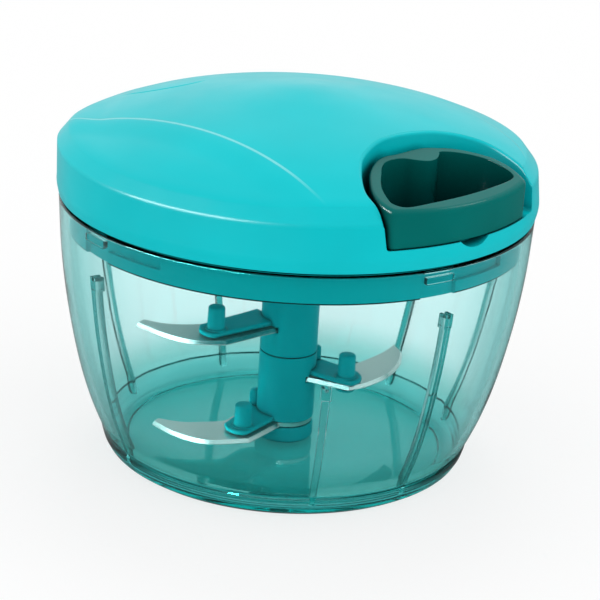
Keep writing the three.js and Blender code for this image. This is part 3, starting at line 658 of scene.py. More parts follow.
def braid():
    """A small check of strands, with the soft sheen of fibre."""
    material = new_material("braided polyester cord, white")
    place = add(material, "ShaderNodeTexCoord").outputs["Object"]
    weave = add(material, "ShaderNodeTexChecker", {"Vector": place, "Scale": 1 / strand_width,
                                                   "Color1": colour("eceeec"), "Color2": colour("d5d9d7")})
    bump = add(material, "ShaderNodeBump", {"Height": weave.outputs["Fac"], "Distance": strand_depth})
    shader = add(material, "ShaderNodeBsdfPrincipled", {
        "Base Color": weave.outputs["Color"], "Roughness": 0.8, "Sheen Weight": 0.3,
        "Normal": bump.outputs["Normal"]})
    add(material, "ShaderNodeOutputMaterial", {"Surface": shader.outputs["BSDF"]})
    return material


cord_fibre = braid()
print(f"strands of {strand_width / MM} mm")

# %% [markdown]
# ## Bowl wall
# The bowl is one moulding: a wall that bows outwards, a stepped foot, a boss for the pin, ribs and lugs. A
# cylinder could be scaled ring by ring, but a spun profile holds wall, foot, floor and boss in one drawing
# with all its radii. The profile goes from the middle of the underside round the foot, up the outside, over
# the rim, down the inside and over the floor to the pin's socket.

# %% Bowl wall
bowl_wall = 2 * MM
foot_radius = 0.73 * rim_radius
foot_rim = 3 * MM
foot_recess = 0.6 * MM
foot_round = 0.6 * MM
foot_ledge = 0.45 * MM
floor_z = 2.2 * MM
floor_fillet = 6 * MM
boss_radius = 4 * MM
boss_top_z = floor_z + 6.1 * MM
socket_radius = 2.5 * MM
socket_floor_z = 1.7 * MM
rim_round = 0.6 * MM
wall_shares = [(0.089, 0.797), (0.148, 0.827), (0.237, 0.865), (0.356, 0.904), (0.504, 0.94),
               (0.653, 0.968), (0.801, 0.987), (0.95, 0.997), (1, 1)]
wall_line = through([(z * bowl_height, r * rim_radius) for z, r in wall_shares], 4)


def inner_radius(z):
    """Radius of the inside of the wall at a height."""
    return value_at(wall_line, z) - bowl_wall


def bowl_shell():
    """The bowl without its ribs and lugs."""
    foot_top = value_at(wall_line, foot_height) + 0.05 * MM
    lean = foot_top - foot_radius
    fillet_z = floor_z + floor_fillet
    ring = foot_radius - foot_rim
    foot = [
        (0, foot_recess, 0),
        (ring, foot_recess, foot_round / 2),
        (ring + foot_recess, 0, foot_round / 2),
        (foot_radius + foot_round, 0, foot_round),
        (foot_radius + 0.6 * lean, 0.2 * foot_height, 1.5 * MM),
        (foot_radius + 0.85 * lean, 0.5 * foot_height, 3 * MM),
        (foot_top, 0.86 * foot_height, 0.4 * MM),
        (foot_top - foot_ledge, foot_height, 0.3 * MM),
    ]
    top = bowl_height - MM
    outside = [(r, z, 0) for z, r in wall_line[1:-1] if z < top]
    rim = [(rim_radius, bowl_height, rim_round), (rim_radius - bowl_wall, bowl_height, rim_round)]
    inside = [(r - bowl_wall, z, 0) for z, r in reversed(wall_line) if fillet_z < z < top]
    floor = [
        (inner_radius(floor_z), floor_z, floor_fillet),
        (boss_radius, floor_z, 0.5 * MM),
        (boss_radius, boss_top_z, 0.4 * MM),
        (socket_radius, boss_top_z, 0.3 * MM),
        (socket_radius, socket_floor_z, 0),
        (0, socket_floor_z, 0),
    ]
    return spun("bowl_shell", rounded(foot + outside + rim + inside + floor, 5, False))


bowl = bowl_shell()
print(f"the wall is {bowl_wall / MM} mm thick, the mouth's radius {inner_radius(bowl_height) / MM:.1f} mm")

# %% [markdown]
# ## Ribs
# Upright ribs stop the food from only going round with the blades. Each follows the curve of the wall, gets
# narrower towards its foot as mouldings do, and ends in a small notched head. Its outline is drawn from the
# side and extruded to its width, which is simpler than bending a bar to the wall.

# %% Ribs
rib_depth = 1.8 * MM
rib_root = 1 * MM
rib_foot_z = 0.05 * bowl_height
rib_top_z = 0.81 * bowl_height
short_rib_top_z = 0.565 * bowl_height
rib_top_width = 2.0 * MM
rib_foot_width = 1.5 * MM
rib_steps = 12
rib_edge = 0.18 * MM
head_height = 3.4 * MM
head_grow = 0.4 * MM
head_rise = 0.2 * MM
notch_size = 0.8 * MM
notch_back = 0.2 * MM
rib_azimuths = [-55, 40, 105, 140, -156, -112]
short_rib_azimuth = 10


def side_slab(name, outline, width):
    """An outline of (radius, height) points as an upright slab along +X."""
    obj = draw(name, [(r, -width / 2, z) for r, z in outline])
    edit(obj)
    bpy.ops.mesh.edge_face_add()
    bpy.ops.mesh.extrude_region_move(TRANSFORM_OT_translate={"value": (0, width, 0)})
    close_edit()
    return face_out(obj)


def rib(azimuth, top_z):
    """A rib that follows the wall, narrower at its foot, with a square head."""
    heights = [rib_foot_z + (top_z - rib_foot_z) * i / rib_steps for i in range(rib_steps + 1)]
    wall_side = [(inner_radius(z) + rib_root, z) for z in heights]
    free_side = [(inner_radius(z) - rib_depth, z) for z in heights]
    obj = side_slab("rib", wall_side + free_side[::-1], rib_top_width)
    for vertex in obj.data.vertices:
        share = (vertex.co.z - rib_foot_z) / (rib_top_z - rib_foot_z)
        vertex.co.y *= (rib_foot_width + (rib_top_width - rib_foot_width) * share) / rib_top_width
    head_z = top_z - head_height
    root = inner_radius(top_z) + rib_root
    head = side_slab("head", [
        (root, head_z),
        (root, top_z + head_rise),
        (inner_radius(top_z) - rib_depth - head_grow, top_z + head_rise),
        (inner_radius(head_z) - rib_depth - head_grow, head_z),
    ], rib_top_width + head_grow)
    back = inner_radius(top_z) - notch_back
    front = inner_radius(top_z) - rib_depth - 2 * head_grow
    notch = side_slab("notch", [
        (front, top_z - notch_size),
        (back, top_z - notch_size),
        (back, top_z + MM),
        (front, top_z + MM),
    ], notch_size)
    cut_from(add_to(obj, head), notch)
    soft_edges(obj, rib_edge, 2)
    return turned_to(obj, azimuth)


inside_parts = [rib(azimuth, rib_top_z) for azimuth in rib_azimuths]
inside_parts.append(rib(short_rib_azimuth, short_rib_top_z))
print(len(inside_parts), "ribs")

# %% [markdown]
# ## Lugs
# Four short lugs under the rim hold the lid: its skirt goes over them and turns. Each is a piece of a ring,
# raised from an outline whose sides follow the wall.

# %% Lugs
lug_azimuths = [-54, 36, 126, 216]
lug_half_angle = 4
lug_height = 1.8 * MM
lug_z = bowl_height - 3.8 * MM
lug_depth = 1.2 * MM
lug_root = 0.6 * MM
lug_edge = 0.2 * MM


def sector(inner, outer, low, high, start, stop):
    """A piece of a ring between two heights and two azimuths."""
    steps = max(2, math.ceil((stop - start) / 1.5))
    azimuths = [start + (stop - start) * i / steps for i in range(steps + 1)]
    outline = [at(a, outer) for a in azimuths] + [at(a, inner) for a in reversed(azimuths)]
    return raised("sector", outline, low, high)


def lug(azimuth):
    """A lug at an azimuth, rooted in the wall."""
    wall = inner_radius(lug_z)
    start = azimuth - lug_half_angle
    stop = azimuth + lug_half_angle
    made = sector(wall - lug_depth, wall + lug_root, lug_z, lug_z + lug_height, start, stop)
    return soft_edges(made, lug_edge, 2)


inside_parts += [lug(azimuth) for azimuth in lug_azimuths]
print(len(lug_azimuths), "lugs")

# %% [markdown]
# ## Whole bowl
# Wall, ribs and lugs are joined into one skin, because light bends at every skin that it meets, and pieces
# that only touch would show a dark line. Ribs look deeper than the wall, since they are seen through more
# plastic, so the points that lie on a rib are marked for the material.

# %% Whole bowl
rib_mark_from = 0.1 * MM
rib_mark_to = 3 * MM
short_rib_mark = 0.3
short_rib_half_angle = 5

add_to(bowl, join("inside_parts", *inside_parts))
rib_marks = bowl.data.attributes.new("rib", "FLOAT", "POINT")
for vertex, mark in zip(bowl.data.vertices, rib_marks.data):
    x, y, z = vertex.co
    inwards = inner_radius(z) - math.hypot(x, y)
    on_any = rib_mark_from < inwards < rib_mark_to and 1.4 * rib_foot_z < z < rib_top_z + MM
    on_short = abs(math.degrees(math.atan2(x, -y)) - short_rib_azimuth) < short_rib_half_angle
    mark.value = on_any * (short_rib_mark if on_short else 1)
finish_piece(bowl, "clear_bowl", "bowl_body", bowl_plastic, ["bowl"])

# %% [markdown]
# ## Blade unit: sizes
# The blade unit is a hub with three blades, each at its own height and azimuth, and each swept to one side.
# Its outline is given in shares of its reach, along the arm and across it, so that a blade can be made
# longer in one place. The cutting side goes from the hub round the tip, and the back returns to the hub.

# %% Hub and blade sizes
hub_radius = 7.5 * MM
hub_bore = 4.3 * MM
hub_lip = 0.15 * MM
blade_thickness = 1 * MM
seat_gap = 0.3 * MM
hub_foot_z, hub_foot_top_z = (corner.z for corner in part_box("hub_foot"))
upper_sleeve_z, hub_top_z = (corner.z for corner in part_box("hub_upper"))

upper_blade = {
    "azimuth": -48.7,
    "side": -1,
    "z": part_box("blade_upper")[0].z,
    "reach": 0.656 * lid_radius,
    "edge": [(0.583, -0.075), (0.762, 0.063), (0.842, 0.252), (0.875, 0.485)],
    "back": [(0.8, 0.51), (0.712, 0.37), (0.533, 0.25), (0.317, 0.22)],
    "peg": (0.57, 0.055),
}
middle_blade = {
    "azimuth": 67.6,
    "side": 1,
    "z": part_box("blade_middle")[0].z,
    "reach": 0.59 * lid_radius,
    "edge": [(0.517, -0.083), (0.611, 0.067), (0.678, 0.306), (0.672, 0.553), (0.611, 0.772)],
    "back": [(0.514, 0.847), (0.492, 0.653), (0.397, 0.353), (0.3, 0.244)],
    "peg": (0.464, -0.008),
}
lower_blade = {
    "azimuth": -33.1,
    "side": -1,
    "z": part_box("blade_lower")[0].z,
    "reach": 0.59 * lid_radius,
    "edge": [(0.558, -0.083), (0.78, 0.139), (0.819, 0.397), (0.769, 0.625)],
    "back": [(0.697, 0.628), (0.625, 0.444), (0.43, 0.26), (0.33, 0.244)],
    "peg": (0.48, 0.036),
}
print(f"the upper blade reaches {upper_blade['reach'] / MM:.1f} mm from the axis")

# %% [markdown]
# ## Arms, pegs and fins
# Each of the two long sleeves carries moulded arms that lie on the blades. A peg stands on each arm, a rivet
# under it goes through the blade, and a fin beside the hub stiffens the arm. Pegs and rivets are spun, arms
# and fins are raised outlines with soft edges, and each arm is joined into one solid, as it is moulded.

# %% Arm and slot
arm_thickness = 1.3 * MM
arm_root = 4.6 * MM
arm_front = 1.5 * MM
arm_back = 8 * MM
arm_edge = 0.35 * MM
arm_end_shares = [(0, -0.74), (0.6, -0.72), (0.95, -0.3), (1, 0.3), (0.85, 0.8), (0.4, 1.3)]
peg_radius = 2.35 * MM
peg_height = 7.5 * MM
peg_draft = 0.2 * MM
peg_round = 0.55 * MM
collar_width = 0.35 * MM
collar_height = 0.4 * MM
rivet_radius = 1.5 * MM
rivet_head_radius = 2.3 * MM
rivet_head_height = 0.8 * MM
slot_root = 0.7 * MM
slot_reach = 10.5 * MM
slot_front = 3.3 * MM
slot_back = 12 * MM


def arm_z(blade):
    """Height of the underside of the arm that lies on a blade."""
    return blade["z"] + blade_thickness + seat_gap


def peg_place(blade):
    """How far along its arm a blade's peg stands, and how far across."""
    along, across = (share * blade["reach"] for share in blade["peg"])
    return along, across * blade["side"]


def blade_arm(blade):
    """The arm on a blade, its peg, and the rivet that holds the blade."""
    along, across = peg_place(blade)
    side = blade["side"]
    corner = peg_radius + arm_thickness
    end = through([(along + corner * a, across + side * corner * b) for a, b in arm_end_shares], 5)
    outline = [(arm_root, -side * arm_front)] + end + [(arm_root, side * arm_back)]
    z = arm_z(blade)
    top = z + arm_thickness
    arm = soft_edges(raised("arm", outline, z, top), arm_edge, 3)
    collar = bar(peg_radius + collar_width, z + MM, top + collar_height, along, across, 0.3 * MM)
    peg = bar(peg_radius, z + MM, z + peg_height, along, across, peg_round, peg_radius - peg_draft)
    rivet_z = blade["z"] - seat_gap
    rivet = bar(rivet_radius, rivet_z - rivet_head_height / 2, z + MM, along, across)
    head = bar(rivet_head_radius, rivet_z - rivet_head_height, rivet_z, along, across, 0.3 * MM)
    return turned_to(add_to(arm, collar, peg, rivet, head), blade["azimuth"])


def blade_slot(blade):
    """The room that a blade's root takes in a sleeve."""
    side = blade["side"]
    outline = [
        (slot_root, -side * slot_front),
        (slot_reach, -side * slot_front),
        (slot_reach, side * slot_back),
        (slot_root, side * slot_back),
    ]
    return turned_to(raised("slot", outline, blade["z"] - seat_gap, arm_z(blade)), blade["azimuth"])


print(f"pegs {2 * peg_radius / MM} mm across and {peg_height / MM} mm high")

# %% [markdown]
# ## Hub
# The hub is a stack of three sleeves on a steel core, so that the blades can be laid between them. A sleeve
# is a spun ring with a fine lip at both ends, and the slots for the blades' roots are cut from it.

# %% Hub pieces
fin_root = 5.1 * MM
fin_reach = hub_radius + 2 * MM
fin_height = 5.5 * MM
fin_thickness = 2 * MM
foot_lip = 0.7 * MM


def sleeve(name, low, high, lip=hub_lip):
    """A ring of the hub between two heights."""
    profile = [(hub_bore, low, 0), (hub_radius, low, lip), (hub_radius, high, lip), (hub_bore, high, 0)]
    return spun(name, rounded(profile, 4), 128)


def fin(azimuth, z):
    """The upright fin between an arm and the hub."""
    top = z + fin_height
    corners = [(fin_root, z, 0), (fin_reach, z, 0.2 * MM), (fin_reach, top, MM), (fin_root, top, 0)]
    made = side_slab("fin", rounded(corners, 4), fin_thickness)
    return turned_to(soft_edges(made, 0.25 * MM, 2), azimuth)


hub_foot = sleeve("hub_foot_sleeve", hub_foot_z, hub_foot_top_z, foot_lip)
finish_piece(hub_foot, "hub_foot_ring", "blade_unit", hub_plastic, ["hub_foot"])

lower_z = arm_z(lower_blade)
lower_core = bar(hub_bore, 0, upper_sleeve_z)
arms = cut_from(add_to(blade_arm(lower_blade), blade_arm(middle_blade)), lower_core)
hub_lower = sleeve("hub_lower_sleeve", lower_z, upper_sleeve_z - seat_gap)
cut_from(hub_lower, blade_slot(middle_blade))
add_to(hub_lower, arms, fin(-99, lower_z), fin(120, arm_z(middle_blade)))
finish_piece(hub_lower, "hub_lower_sleeve", "blade_unit", hub_plastic, ["hub_lower"])

upper_core = bar(hub_bore, upper_sleeve_z - MM, hub_top_z + MM)
hub_upper = cut_from(sleeve("hub_upper_sleeve", upper_sleeve_z, hub_top_z), blade_slot(upper_blade))
add_to(hub_upper, cut_from(blade_arm(upper_blade), upper_core))
finish_piece(hub_upper, "hub_upper_sleeve", "blade_unit", hub_plastic, ["hub_upper"])

# %% [markdown]
# ## Blades
# Each blade is stamped from one millimetre sheet and ground to an edge along its outer side. A bevel would
# round all its edges alike. Instead two outlines are drawn, the lower one full and the upper one set back
# along the cutting side, and the wall between them is the ground bevel that catches the light. Its faces are
# found by their slope and get a brighter finish.

# %% Blades
bevel_width = 0.6 * MM
edge_land = 0.15 * MM
blade_root = 1 * MM
blade_front = 3 * MM
blade_heel = (6.5 * MM, 8.8 * MM)
rivet_hole_radius = 1.8 * MM
bevel_slopes = (0.25, 0.9)
bright_edge = metal("polished stainless edge", "b4bab8", 0.2)


def blade_outline(blade, set_back):
    """The blade's outline, with the cutting side set back."""
    reach = blade["reach"]
    side = blade["side"]
    edge = through(scaled(blade["edge"], reach), 8)
    back = through(scaled(blade["back"], reach), 6)
    front = [(hub_radius - MM, -blade_front)] + edge
    moved = []
    for i, point in enumerate(front):
        here = Vector(point)
        ahead = Vector(front[min(i + 1, len(front) - 1)])
        behind = Vector(front[max(i - 1, 0)])
        along = (ahead - behind).normalized()
        moved.append(tuple(here + Vector((-along.y, along.x)) * set_back))
    root = [blade_heel, (blade_root, hub_bore), (blade_root, -blade_front)]
    return [(x, y * side) for x, y in moved + back + root]


def blade_piece(blade, name, node):
    """A blade with its rivet hole and its bore. The lowest one also has a ring round the core."""
    z = blade["z"]
    top = z + blade_thickness
    levels = [(z, 0), (z + edge_land, 0), (top, bevel_width)]
    made = skin(name, [[(x, y, level) for x, y in blade_outline(blade, back)] for level, back in levels])
    along, across = peg_place(blade)
    hole = bar(rivet_hole_radius, z - MM, top + MM, along, across)
    made = turned_to(cut_from(made, hole), blade["azimuth"])
    if blade is lower_blade:
        add_to(made, bar(hub_radius - 0.4 * MM, z, top))
    cut_from(made, bar(hub_bore, z - MM, top + MM))
    steel = metal(f"ground stainless steel, {node}", "aaaeab", 0.34, blade["azimuth"])
    finish_piece(made, name, "blade_unit", steel, [node], angle=25)
    made.data.materials.append(bright_edge)
    for face in made.data.polygons:
        if bevel_slopes[0] < face.normal.z < bevel_slopes[1] and face.center.z > z + edge_land:
            face.material_index = 1


blade_piece(lower_blade, "lower_blade", "blade_lower")
blade_piece(middle_blade, "middle_blade", "blade_middle")
blade_piece(upper_blade, "upper_blade", "blade_upper")

# %% [markdown]
# ## Lid: outer line
# The cover is a dome on a short wall, and the two meet in a soft crease. A sphere could be squashed to a
# dome, but this one is flatter in the middle than at its shoulder, so its section is drawn from the edge to
# the crown and then spun.

# %% Outer line of the lid
dome_rise = 16.6 * MM
crease_radius = lid_radius - 1 * MM
crease_z = crown_z - dome_rise
crease_round = 2.2 * MM
cover_wall = 2.2 * MM
edge_inset = 0.6 * MM
edge_width = 0.5 * MM
edge_draft_height = 2.7 * MM
dome_start = crease_radius - 2.6 * MM
dome_shares = [(1, 0), (0.95, 0.223), (0.867, 0.361), (0.75, 0.512), (0.583, 0.669), (0.333, 0.837),
               (0.16, 0.945), (0, 1)]
dome_points = [(r * crease_radius, crease_z + z * dome_rise) for r, z in dome_shares]
mirrored = [(-r, z) for r, z in reversed(dome_points[:-1])]
dome_line = [p for p in through(dome_points + mirrored[:1], 8) if p[0] >= 0]


def dome_height(radius):
    """Height of the dome's surface at a radius."""
    return value_at(dome_line, min(radius, crease_radius))


def lid_outline():
    """Half of the lid's section, from the edge over the crease to the crown."""
    corners = [
        (lid_radius - edge_inset - edge_width, lid_edge_z, 0),
        (lid_radius - edge_inset, lid_edge_z, 0.25 * MM),
        (lid_radius, lid_edge_z + edge_draft_height, 6 * MM),
        (crease_radius, crease_z, crease_round),
    ]
    dome = [(r, z, 0) for r, z in dome_line if r < dome_start]
    return rounded(corners + dome, 6, False)


print(f"the crease is at {crease_z / MM:.1f} mm, the crown at {crown_z / MM:.1f} mm")

# %% [markdown]
# ## Lid: leaf field and shoulder
# The dome isn't quite a turned shape. A leaf-shaped field at the front left is a little lower than the rest,
# and its border is a fine crease. Behind the left end of that crease the dome's shoulder is fuller. Sculpting
# would do it, but both are small smooth moves, so they are made by moving the spun points by a formula.

# %% Leaf field and shoulder
leaf_centre = Vector((-171.9, -201.1)) * MM
leaf_radius = 230 * MM
leaf_drop = 0.9 * MM
leaf_soft = 9 * MM
leaf_fade_height = 3 * MM
shoulder_azimuth = -83
shoulder_half_angle = 35.5
shoulder_rise = 1.0 * MM
shoulder_reach = 1.36 * MM
shoulder_start = 49.4 * MM
shoulder_soft = 7.5 * MM
shoulder_drop = 4 * MM
shoulder_fade_height = 5 * MM
widest = lid_radius - 0.05 * MM


def smooth_step(share):
    """A share from 0 to 1 with soft ends."""
    share = min(max(share, 0), 1)
    return share * share * (3 - 2 * share)


def shape_dome(obj):
    """Lowers the leaf field and fills the shoulder."""
    for vertex in obj.data.vertices:
        x, y, z = vertex.co
        radius = math.hypot(x, y)
        from_leaf = math.hypot(x - leaf_centre.x, y - leaf_centre.y)
        inside_leaf = smooth_step((leaf_radius - from_leaf) / leaf_soft)
        on_dome = smooth_step((z - crease_z) / leaf_fade_height)
        azimuth = math.degrees(math.atan2(x, -y))
        away = abs((azimuth - shoulder_azimuth + 180) % 360 - 180) / shoulder_half_angle
        beside = smooth_step(1 - away)
        above = smooth_step((z - crease_z + shoulder_drop) / shoulder_fade_height)
        full = beside * smooth_step((radius - shoulder_start) / shoulder_soft) * above
        vertex.co.z = z - leaf_drop * inside_leaf * on_dome + shoulder_rise * full
        grow = 1 + min(shoulder_reach * full, widest - radius) / max(radius, MM)
        vertex.co.x = x * grow
        vertex.co.y = y * grow
    return obj


lid_cover = shape_dome(spun("lid_outside", [(0, lid_edge_z)] + lid_outline(), 288))
print("the leaf field is lowered by", leaf_drop / MM, "mm")

# %% [markdown]
# ## Lid: recess for the handle
# The handle lies in a recess that is open to the front. Its edge at the dome is a small arc, which a bevel on
# the cut's uneven edge would spoil. So the cutting tool itself widens towards the dome in that arc: loops
# of the same line, each moved out a little more, are joined into a skin. The recess's floor is a ledge with
# a scoop for a finger, cut by a lying cylinder.

# %% Recess tools
pull_azimuth = 44
recess_z = lid_edge_z + 5.4 * MM
recess_edge = 0.8 * MM
recess_draft = 0.5 * MM
recess_corner = 0.8 * MM
recess_top = crown_z + 3 * MM
scoop_half_width = 4.75 * MM
scoop_depth = 1.9 * MM
recess_shares = [
    (1.15, -0.47), (0.885, -0.403), (0.754, -0.376), (0.625, -0.27), (0.564, -0.172), (0.528, -0.074),
    (0.518, 0.033), (0.523, 0.143), (0.538, 0.236), (0.574, 0.328), (0.631, 0.405), (0.721, 0.446),
    (0.897, 0.462), (1.15, 0.52),
]
recess_line = evenly(through(scaled(recess_shares, lid_radius), 10), 120)


def moved_out(line, distance):
    """An open line moved sideways, away from the recess."""
    moved = []
    for i, point in enumerate(line):
        along = (Vector(line[min(i + 1, len(line) - 1)]) - Vector(line[max(i - 1, 0)])).normalized()
        moved.append(Vector(point) + Vector((-along.y, along.x)) * distance)
    return moved


def recess_tool():
    """The recess's room, with a rounded corner at its floor and a rounded edge at the dome."""
    loops = []
    for turn in (0, 30, 60, 90):
        a = math.radians(turn)
        out = -recess_draft - recess_corner * (1 - math.sin(a))
        z = recess_z + recess_corner * (1 - math.cos(a))
        loops.append([(p.x, p.y, z) for p in moved_out(recess_line, out)])
    for turn in (0, 20, 40, 60, 80):
        a = math.radians(turn)
        loop = moved_out(recess_line, recess_edge * (1 - math.cos(a)))
        drop = recess_edge * (1 - math.sin(a))
        loops.append([(p.x, p.y, dome_height(p.length) - drop) for p in loop])
    loops.append([(x, y, recess_top) for x, y, z in loops[-1]])
    return turned_to(skin("recess_tool", loops), pull_azimuth)


def plain_recess(grow, low):
    """The recess's room with its sides moved out, without soft edges."""
    outline = [tuple(p) for p in moved_out(recess_line, grow)]
    return turned_to(raised("recess_room", outline, low, recess_top), pull_azimuth)


def scoop_tool():
    """The finger scoop in the front of the ledge."""
    radius = (scoop_half_width ** 2 + scoop_depth ** 2) / (2 * scoop_depth)
    place = (lid_radius, 0, recess_z - scoop_depth + radius)
    bpy.ops.mesh.primitive_cylinder_add(vertices=96, radius=radius, depth=8 * MM, location=place,
                                        rotation=(0, math.radians(90), 0))
    return turned_to(placed(bpy.context.object), pull_azimuth)


print(f"the recess's ledge is {(recess_z - lid_edge_z) / MM:.1f} mm above the lid's edge")

# %% [markdown]
# ## Lid: creases in the surface
# The creases of the leaf pattern are about a millimetre wide and a fraction of that high, too fine to model
# well, so they are relief in the material: each is a small step along a part of a circle, which fades out
# towards both of its ends. Its edge is drawn paler: a painted highlight of the light that the edge catches.

# %% Lid material
# A crease's pale share sets the strength of the painted highlight along its edge.
creases = [
    {"centre": leaf_centre, "radius": leaf_radius, "middle": Vector((-28, -23)) * MM, "reach": 49 * MM,
     "width": 0.7 * MM, "step": 0.25 * MM, "pale": 0.5},
    {"centre": Vector((-36.7, 25.6)) * MM, "radius": 12.5 * MM, "middle": Vector((-36, 13)) * MM,
     "reach": 14 * MM, "width": 0.9 * MM, "step": 0.5 * MM, "pale": 0},
    {"centre": Vector((17.6, -13.6)) * MM, "radius": 38.7 * MM, "middle": Vector((46, 12)) * MM,
     "reach": 26 * MM, "width": 0.4 * MM, "step": 0.15 * MM, "pale": 0.2},
]
fade_share = 0.6


def crease_pattern(material, place):
    """Steps of the surface, up towards the circles' centres, and the painted highlights on their edges."""
    flat = add(material, "ShaderNodeMapping", {"Vector": place, "Scale": (1, 1, 0)}).outputs["Vector"]
    relief, edge = 0.0, 0.0
    for crease in creases:
        radius, width, reach = crease["radius"], crease["width"], crease["reach"]
        away = add(material, "ShaderNodeVectorMath", {0: flat, 1: (*crease["centre"], 0)},
                   operation="DISTANCE").outputs["Value"]
        step = add(material, "ShaderNodeMapRange", {
            "Value": away, "From Min": radius - width, "From Max": radius + width,
            "To Min": crease["step"], "To Max": 0}, interpolation_type="SMOOTHSTEP").outputs["Result"]
        along = add(material, "ShaderNodeVectorMath", {0: flat, 1: (*crease["middle"], 0)},
                    operation="DISTANCE").outputs["Value"]
        fade = add(material, "ShaderNodeMapRange", {
            "Value": along, "From Min": fade_share * reach, "From Max": reach,
            "To Min": 1, "To Max": 0}, interpolation_type="SMOOTHSTEP").outputs["Result"]
        relief = add(material, "ShaderNodeMath", {0: step, 1: fade, 2: relief},
                     operation="MULTIPLY_ADD").outputs[0]
        beside = add(material, "ShaderNodeMath", {0: away, 1: radius, 2: width / 2},
                     operation="COMPARE").outputs[0]
        # The narrow band along each circle gets a painted highlight.
        painted_highlight = add(material, "ShaderNodeMath", {0: beside, 1: crease["pale"]},
                     operation="MULTIPLY").outputs[0]
        edge = add(material, "ShaderNodeMath", {0: painted_highlight, 1: fade, 2: edge},
                   operation="MULTIPLY_ADD").outputs[0]
    return relief, edge


# Gaps up to a millimetre wide get painted shade, and the crease edges get painted highlights.
lid_plastic = moulded("moulded polypropylene, turquoise", "00c8d0", "00c2ca", 0.31, 0.11, MM, crease_pattern)
print(len(creases), "creases in", lid_plastic.name)

# %% [markdown]
# ## Lid: inside
# The cover is a shell with a rabbet at its edge for the base, posts for the screws and a hole for the cord's
# eye. A Solidify modifier would thicken it, but not with these steps. So the room inside is spun as a body of
# its own, loses the room that the recess takes, and is cut away.

# %% Inside of the lid
cord_z = 79 * MM
cord_offset = 0.09 * lid_radius
cord_radius = 1.1 * MM
recess_back = 0.518 * lid_radius
rabbet_radius = lid_radius - 1.3 * MM
rabbet_z = lid_edge_z + 1.2 * MM
screw_azimuths = [134, 224, 314]
screw_circle = 0.8 * lid_radius
screw_hole_radius = 1.8 * MM
post_radius = 4 * MM
post_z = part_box("lid_base")[1].z - 2.9 * MM
post_hole_depth = 13.6 * MM
eye_room_radius = 3.5 * MM
eye_flange_room_radius = 4.5 * MM


def along_cord(radius, start, stop, soft=0):
    """A round bar along the pull direction at the cord's place."""
    profile = [(0, start, 0), (radius, start, soft), (radius, stop, soft), (0, stop, 0)]
    made = spun("along_cord", rounded(profile, 4, False), SMALL_ROUND)
    made.rotation_euler.y = math.radians(90)
    placed(made)
    made.location = (0, cord_offset, cord_z)
    return turned_to(placed(made), pull_azimuth)


def lid_inside():
    """The room inside the cover."""
    low = lid_edge_z - 3 * MM
    wall = lid_radius - edge_inset - cover_wall
    shrink = (crease_radius - cover_wall) / crease_radius
    profile = [(0, low), (rabbet_radius, low), (rabbet_radius, rabbet_z), (wall, rabbet_z)]
    profile += [(r * shrink, z - cover_wall) for r, z in dome_line]
    return spun("lid_inside", profile, 96)


hollow = cut_from(lid_inside(), plain_recess(2 * MM, recess_z - 2 * MM))
cut_from(lid_cover, hollow, recess_tool(), scoop_tool())
post_top_z = dome_height(screw_circle + post_radius) - 1.5 * MM
for azimuth in screw_azimuths:
    x, y = at(azimuth, screw_circle)
    add_to(lid_cover, bar(post_radius, post_z, post_top_z, x, y))
    cut_from(lid_cover, bar(screw_hole_radius, post_z - MM, post_z + post_hole_depth, x, y))
cut_from(
    lid_cover,
    along_cord(eye_room_radius, recess_back - 6 * MM, recess_back + 3 * MM),
    along_cord(eye_flange_room_radius, recess_back, recess_back + 3 * MM),
)
finish_piece(lid_cover, "lid_cover_shell", "lid", lid_plastic, ["lid_cover"], angle=35)

# %% [markdown]
# ## Lid base
# Under the cover sits the base: a plate with a skirt that drops into the bowl, seen through its wall as a
# darker band. Slots in the skirt take the bowl's lugs: a lug enters a slot from below, and then runs along
# it as the lid turns. The base is spun, and then the slots and screw holes are cut. Its faces that look out
# above and below the band lie in the narrow gap, and get the material with the painted shadow.

# %% Lid base
base_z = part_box("lid_base")[0].z
skirt_z = base_z + 0.4 * MM
skirt_radius = inner_radius(skirt_z) - 0.4 * MM
skirt_wall = 2.4 * MM
flange_radius = skirt_radius + 1.9 * MM
flange_z = bowl_height + seat_gap
flange_top_z = flange_z + 1.5 * MM
plate_z = base_z + 2 * MM
plate_top_z = plate_z + 2.5 * MM
bearing_radius = 8.4 * MM
bearing_bore = 6.6 * MM
bearing_height = 2 * MM
slot_gap = 0.4 * MM
slot_entry_angle = 5
slot_end_angle = 22
pad_radius = 5.2 * MM
screw_head_room_radius = 3.4 * MM
screw_head_room_depth = 2.8 * MM


def bayonet_slot(azimuth):
    """The slot that a lug enters, then turns along."""
    outer = skirt_radius + 1.5 * MM
    inner = skirt_radius - MM
    top = lug_z + lug_height + slot_gap
    start = azimuth - slot_entry_angle
    entry = sector(inner, outer, skirt_z - 3 * MM, top, start, azimuth + slot_entry_angle)
    return add_to(entry, sector(inner, outer, lug_z - slot_gap, top, start, azimuth + slot_end_angle))


